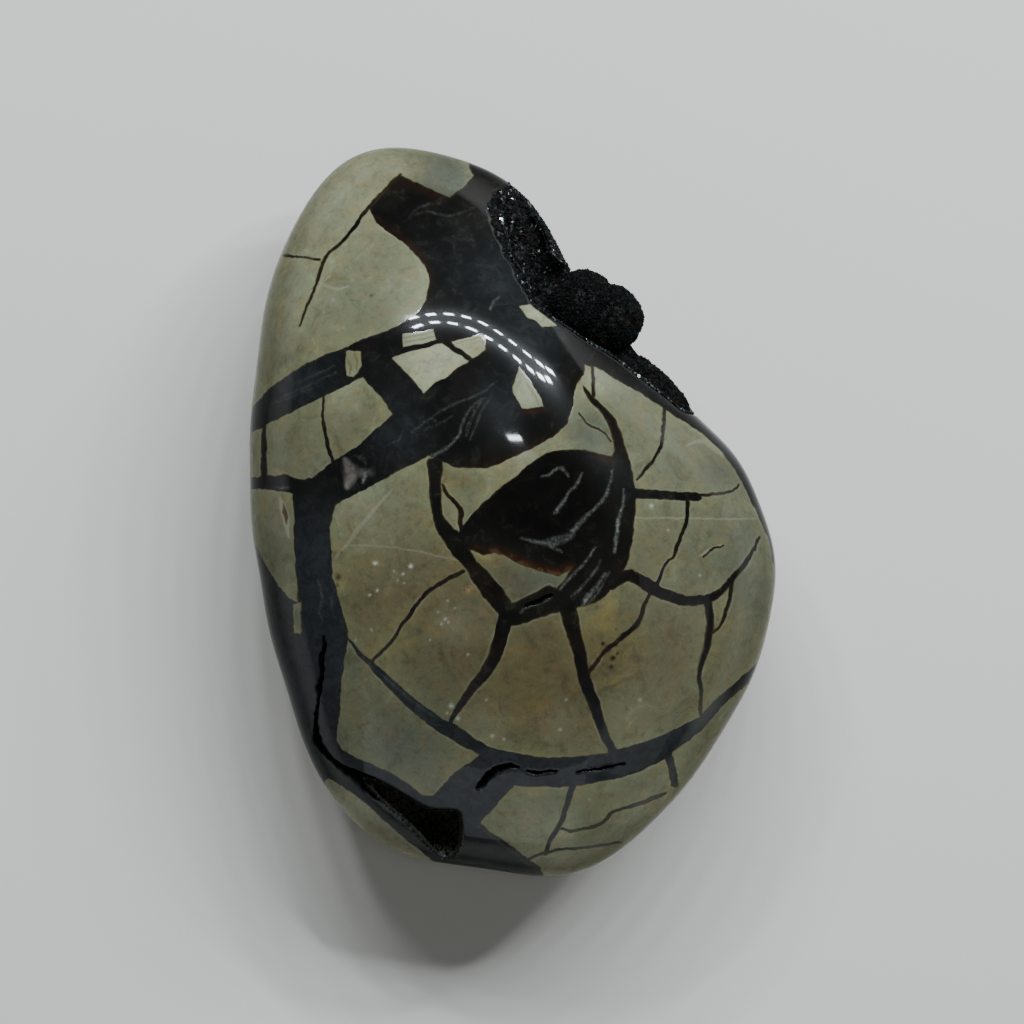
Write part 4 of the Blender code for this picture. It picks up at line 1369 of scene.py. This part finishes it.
def skin_normals(points, triangles, columns):
    """The smooth stone's normals, but the mesh's own beside the borders and on the flat spot below."""
    nearest = np.min([np.abs(columns[name]) for name in BORDER_FIELDS], axis=0)
    nearest[points[:, 2] < REST_SPOT_MARGIN] = 0
    edge = np.clip((BORDER_NORMALS - nearest) / BORDER_NORMALS_CHANGE, 0, 1)[:, None]
    smooth = np.stack([columns[axis] for axis in SMOOTH_AXES], axis=1)
    normals = edge * point_normals(points, triangles) + (1 - edge) * smooth
    return normals / np.maximum(np.linalg.norm(normals, axis=1), 1e-9)[:, None]


def skin_tints(points, columns):
    """Colour weights of the skin at each point. Those of the front fade below the widest level."""
    places = wandering(to_picture(points), points, TONE_WANDER)
    exact = wandering(to_picture(points), points, MARK_WANDER)
    tints = {name: blob_strength(places, blobs) for name, blobs in SPOT_TINTS.items()}
    tints |= {name: blob_strength(exact, blobs) for name, blobs in FLECK_TINTS.items()}
    tints |= {name: streak_strength(exact, *streaks) for name, streaks in STREAK_TINTS.items()}
    front = np.clip((points[:, 2] - WIDEST_LEVEL) / TINT_FADE + 1, 0, 1)
    tints = {name: np.clip(values, 0, 1) * front for name, values in tints.items()}
    for name, (share, middle, change, size, phase) in BACK_TINTS.items():
        noise = np.clip(middle + change * value_noise(points, size, phase), 0, 1)
        tints[name] += (1 - front) * share * noise
    tints["border"] = np.abs(columns["vein"])
    # Painted shade in and beside the open cracks; lighter broken calcite beside the mouths, partly a painted
    # rim sheen
    tints["crack_shade"] = np.clip(CRACK_SHADE_EDGE[0] - columns["crack"] / CRACK_SHADE_EDGE[1], 0, 1)
    tints["broken"] = np.clip(BROKEN_AND_SHEEN_EDGE[0] - columns["mouth"] / BROKEN_AND_SHEEN_EDGE[1], 0, 1)
    return tints


def build_skin():
    """The polished skin, in front and back pieces of mudstone and calcite. Returns the rough flank."""
    points, triangles, columns = sunk_skin()
    points, columns, _, triangles = cut(points, triangles, columns["mouth"], columns)
    points, columns, flank, triangles = cut(points, triangles, columns["flank"], columns)
    points, columns, calcite, mudstone = cut(points, triangles, columns["vein"], columns)
    normals = skin_normals(points, np.vstack([calcite, mudstone]), columns)
    tints = skin_tints(points, columns)
    looks = (
        ("mudstone", mudstone, mudstone_material(), MUDSTONE_TINTS),
        ("calcite", calcite, calcite_material(), CALCITE_TINTS),
    )
    for slot, part, material, names in looks:
        weights = {name: tints[name] for name in names}
        front = points[part, 2].mean(axis=1) > WIDEST_LEVEL
        for side, chosen in (("front", part[front]), ("back", part[~front])):
            new_piece(f"{slot}_{side}", points, chosen, material, slot, weights, normals)
    return points, flank


def build_bowl(mouth, centre, floor):
    """Walls and floor of a hollow, under its mouth in the skin."""
    edge = closed_curve(mouth, 12) * MM
    middle = np.array(centre) * MM
    top = front_height(edge[:, 0], edge[:, 1]) - BOWL_GAP
    bottom = floor(edge[:, 0], edge[:, 1])
    rings = []
    for share in np.linspace(0, 1, WALL_RINGS):
        plan = middle + (edge - middle) * (1 - WALL_LEAN * share)
        rings.append(np.column_stack([plan, top + (bottom - top) * share]))
    for share in np.linspace(1 - WALL_LEAN, SMALLEST_RING, FLOOR_RINGS)[1:]:
        plan = middle + (edge - middle) * share
        rings.append(np.column_stack([plan, floor(plan[:, 0], plan[:, 1])]))
    points = np.vstack(rings)
    count = len(edge)
    lower = np.arange(count)
    faces = []
    for ring in range(len(rings) - 1):
        a, b = ring * count + lower, ring * count + np.roll(lower, -1)
        faces += [np.column_stack([a, b + count, b]), np.column_stack([a, a + count, b + count])]
    return points, upward(points, np.vstack(faces), middle)


def upward(points, triangles, middle):
    """Turns the triangles of a bowl so that they face into its hollow."""
    a, b, c = (points[triangles[:, corner]] for corner in range(3))
    flat = np.cross(b - a, c - a)
    inward = np.array((*middle, points[:, 2].max() + BOWL_EYE_HEIGHT)) - a
    away = (flat * inward).sum(axis=1) < 0
    return np.where(away[:, None], triangles[:, ::-1], triangles)


def lump_surface(place, half_sizes, turn):
    """Points and triangles of a rounded lump of crystals."""
    directions, triangles = cube_sphere(LUMP_CELLS)
    bumps = sum(high * value_noise(directions, size, at) for (high, size), at in zip(LUMP_BUMPS, place))
    shape = directions * (1 + bumps)[:, None] * np.array(half_sizes) * MM
    angle = math.radians(turn)
    x = place[0] * MM + shape[:, 0] * math.cos(angle) - shape[:, 1] * math.sin(angle)
    y = place[1] * MM + shape[:, 0] * math.sin(angle) + shape[:, 1] * math.cos(angle)
    return np.column_stack([x, y, LUMP_LEVEL + shape[:, 2]]), triangles


def joined(surfaces):
    """Several surfaces as one set of points and triangles."""
    offsets = np.cumsum([0] + [len(points) for points, _ in surfaces[:-1]])
    triangles = [part + offset for (_, part), offset in zip(surfaces, offsets)]
    return np.vstack([points for points, _ in surfaces]), np.vstack(triangles)


def scatter(points, triangles, spacing, random):
    """Random places on a surface, about one to each square of the spacing, with their normals."""
    a, b, c = (points[triangles[:, corner]] for corner in range(3))
    flat = np.cross(b - a, c - a)
    area = np.linalg.norm(flat, axis=1) / 2
    chosen = random.choice(len(triangles), int(area.sum() / spacing**2), p=area / area.sum())
    u, v = random.random((2, len(chosen), 1))
    over = u + v > 1
    u, v = np.where(over, 1 - u, u), np.where(over, 1 - v, v)
    places = a[chosen] + u * (b - a)[chosen] + v * (c - a)[chosen]
    return places, flat[chosen] / (2 * area[chosen])[:, None]


def crystal_shape():
    """A blunt rhombohedron that stands on one corner, one unit across."""
    corners = np.array(list(np.ndindex(2, 2, 2))) - 0.5
    up = np.ones(3) / math.sqrt(3)
    side = np.array((1, -1, 0)) / math.sqrt(2)
    frame = np.stack([side, np.cross(up, side), up])
    faces = []
    for axis in range(3):
        for level in (0, 1):
            face = [index for index in range(CRYSTAL_CORNERS) if (index >> (2 - axis)) & 1 == level]
            middle = corners[face].mean(axis=0)
            first, second = corners[face[1]] - corners[face[0]], corners[face[2]] - corners[face[0]]
            if np.cross(first, second) @ middle < 0:
                face = [face[0], face[2], face[1], face[3]]
            faces += [(face[0], face[1], face[3]), (face[0], face[3], face[2])]
    return corners @ frame.T * CRYSTAL_PROPORTIONS, np.array(faces)


def crystals_on(places, normals, sizes, random):
    """Points and triangles of crystals at the given places, leaning a little at random."""
    shape, faces = crystal_shape()
    lean = normals + random.normal(0, CRYSTAL_LEAN, normals.shape)
    up = lean / np.linalg.norm(lean, axis=1)[:, None]
    side = np.cross(up, random.normal(size=up.shape))
    side /= np.linalg.norm(side, axis=1)[:, None]
    third = np.cross(up, side)
    local = shape[None] * sizes[:, None, None]
    points = places[:, None] + local[..., :1] * side[:, None] + local[..., 1:2] * third[:, None]
    points = points + (local[..., 2:] - CRYSTAL_DEPTH * sizes[:, None, None]) * up[:, None]
    triangles = faces[None] + CRYSTAL_CORNERS * np.arange(len(places))[:, None, None]
    return points.reshape(-1, 3), triangles.reshape(-1, 3)


def build_druse(flank):
    """The beds of the hollow, its flank, the cavity and the lumps, with crystals all over them."""
    bed, crystal = bed_material(), crystal_material()
    surfaces = {
        "hollow": drop_outside(*build_bowl(HOLLOW_MOUTH, HOLLOW_CENTRE, hollow_floor)),
        "flank": flank,
        "cavity": build_bowl(CAVITY_MOUTH, CAVITY_CENTRE, cavity_floor),
        "lump": joined([lump_surface(*lump) for lump in LUMPS]),
    }
    random = np.random.default_rng(CRYSTAL_SEED)
    for name, (spacing, size, brightest) in DRUSE_BEDS.items():
        new_piece(f"{name}_bed", *surfaces[name], bed, "druse")
        places, normals = scatter(*surfaces[name], spacing * MM, random)
        sizes = size * MM * random.lognormal(0, CRYSTAL_SIZE_SPREAD, len(places))
        glint = random.random(len(places)) * brightest
        sparkle = ((places[:, :2] / MM - SPARKLE_PLACE) ** 2).sum(axis=1) / SPARKLE_RADIUS**2
        glint += SPARKLE_GAIN * np.exp(-sparkle)
        kept = visible_druse(name, places, sizes)
        places, normals, sizes, glint = places[kept], normals[kept], sizes[kept], glint[kept]
        points, triangles = crystals_on(places, normals, sizes, random)
        below = front_height(places[:, 0], places[:, 1]) - places[:, 2]
        # Painted light: lighter brown the deeper a crystal of the lower cavity lies
        lit_brown = np.clip(below / LIT_BROWN_DEPTH, 0, MOST_LIT_BROWN) * (name == "cavity")
        weights = {"glint": glint, "lit_brown": lit_brown}
        weights = {label: np.repeat(values, CRYSTAL_CORNERS) for label, values in weights.items()}
        new_piece(f"{name}_crystals", points, triangles, crystal, "druse", weights, smooth=False)


def visible_druse(name, places, sizes):
    """Which crystals show: those under the open mouths, and on the lumps outside the stone."""
    if name == "flank":
        return np.ones(len(places), dtype=bool)
    x, y, z = places.T
    share = contour_share(x, y)
    if name == "lump":
        return (share >= LUMP_OUTLINE_SHARE) | (z >= np.maximum(hollow_floor(x, y), WIDEST_LEVEL))
    mouth = HOLLOW_MOUTH if name == "hollow" else CAVITY_MOUTH
    inward = -outline_field(places[:, :2] / MM, closed_curve(mouth, 3), MOUTH_REACH) * MM
    clear = (inward > RIM_CLEARANCE * sizes) | (front_height(x, y) - z > SKIN_CLEARANCE * sizes)
    return (inward > -MOUTH_OVERHANG * MM) & (share < BOWL_OUTLINE_SHARE) & clear


def drop_outside(points, triangles):
    """Drops the part of the hollow's bed that lies outside the stone's outline."""
    share = contour_share(points[:, 0], points[:, 1])
    kept = (share[triangles] < 1.0).all(axis=1)
    return points, triangles[kept]


# Stage, light and camera

def build_stage():
    """A pale floor under the stone."""
    n = Nodes("pale_floor")
    material = n.finish(n.mix(n.noise(6.0, 2.0), *FLOOR_COLOURS), 0.6)
    mesh = bpy.data.meshes.new("floor")
    corners = [(x * FLOOR_REACH, y * FLOOR_REACH, 0) for x, y in ((-1, -1), (1, -1), (1, 1), (-1, 1))]
    mesh.from_pydata(corners, [], [(0, 1, 2, 3)])
    mesh.materials.append(material)
    floor = bpy.data.objects.new("floor", mesh)
    bpy.context.scene.collection.objects.link(floor)


def area_light(name, place, along, size_along, size_across, power, colour):
    """A rectangular soft light at a place, turned to the stone, its first side along a direction."""
    light = bpy.data.lights.new(name, "AREA")
    light.shape = "RECTANGLE"
    light.size, light.size_y = size_along, size_across
    light.energy = power
    light.color = colour
    lamp = bpy.data.objects.new(name, light)
    lamp.location = place
    away = (Vector(place) - Vector((0, 0, WIDEST_LEVEL))).normalized()
    across = away.cross(Vector(along)).normalized()
    lamp.rotation_euler = Matrix((across.cross(away), across, away)).transposed().to_euler()
    bpy.context.scene.collection.objects.link(lamp)


def build_lights():
    """Two rows of small panels above the upper end, two wide dim panels, and a small near lamp."""
    for row, places in enumerate(STRIP_ROWS):
        curve = [Vector((x, y, STRIP_HEIGHT + WIDEST_LEVEL)) for x, y in places]
        for tile, (start, end) in enumerate(zip(curve, curve[1:])):
            middle, length = (start + end) / 2, (end - start).length * STRIP_SHARE
            width = STRIP_WIDTH * middle.length
            power = math.pi * STRIP_RADIANCE * length * width
            area_light(f"strip_{row}_{tile}", middle, end - start, length, width, power, STRIP_COLOUR)
    for panel in WIDE_PANELS:
        area_light(*panel)
    start, end = (Vector((*place, NEAR_LAMP_HEIGHT)) for place in NEAR_LAMP_ENDS)
    area_light("near_lamp", (start + end) / 2, end - start, (end - start).length, NEAR_LAMP_WIDTH,
               NEAR_LAMP_POWER, STRIP_COLOUR)
    world = bpy.data.worlds.new("studio")
    bpy.context.scene.world = world
    world.use_nodes = True
    world.node_tree.nodes["Background"].inputs["Color"].default_value = (*WORLD_COLOUR, 1)
    world.node_tree.nodes["Background"].inputs["Strength"].default_value = WORLD_STRENGTH


def build_camera():
    """A camera straight above the stone, which sees the picture frame."""
    camera = bpy.data.cameras.new("camera")
    camera.sensor_width = 36.0
    camera.lens = camera.sensor_width * CAMERA_DISTANCE / (2 * FRAME_CENTRE * MM_PER_POINT * MM)
    camera.clip_end = 20.0
    eye = bpy.data.objects.new("camera", camera)
    eye.location = (0, 0, WIDEST_LEVEL + CAMERA_DISTANCE)
    bpy.context.scene.collection.objects.link(eye)
    bpy.context.scene.camera = eye


def main():
    """Builds the scene."""
    build_camera()
    flank = build_skin()
    build_druse(flank)
    build_stage()
    build_lights()


main()
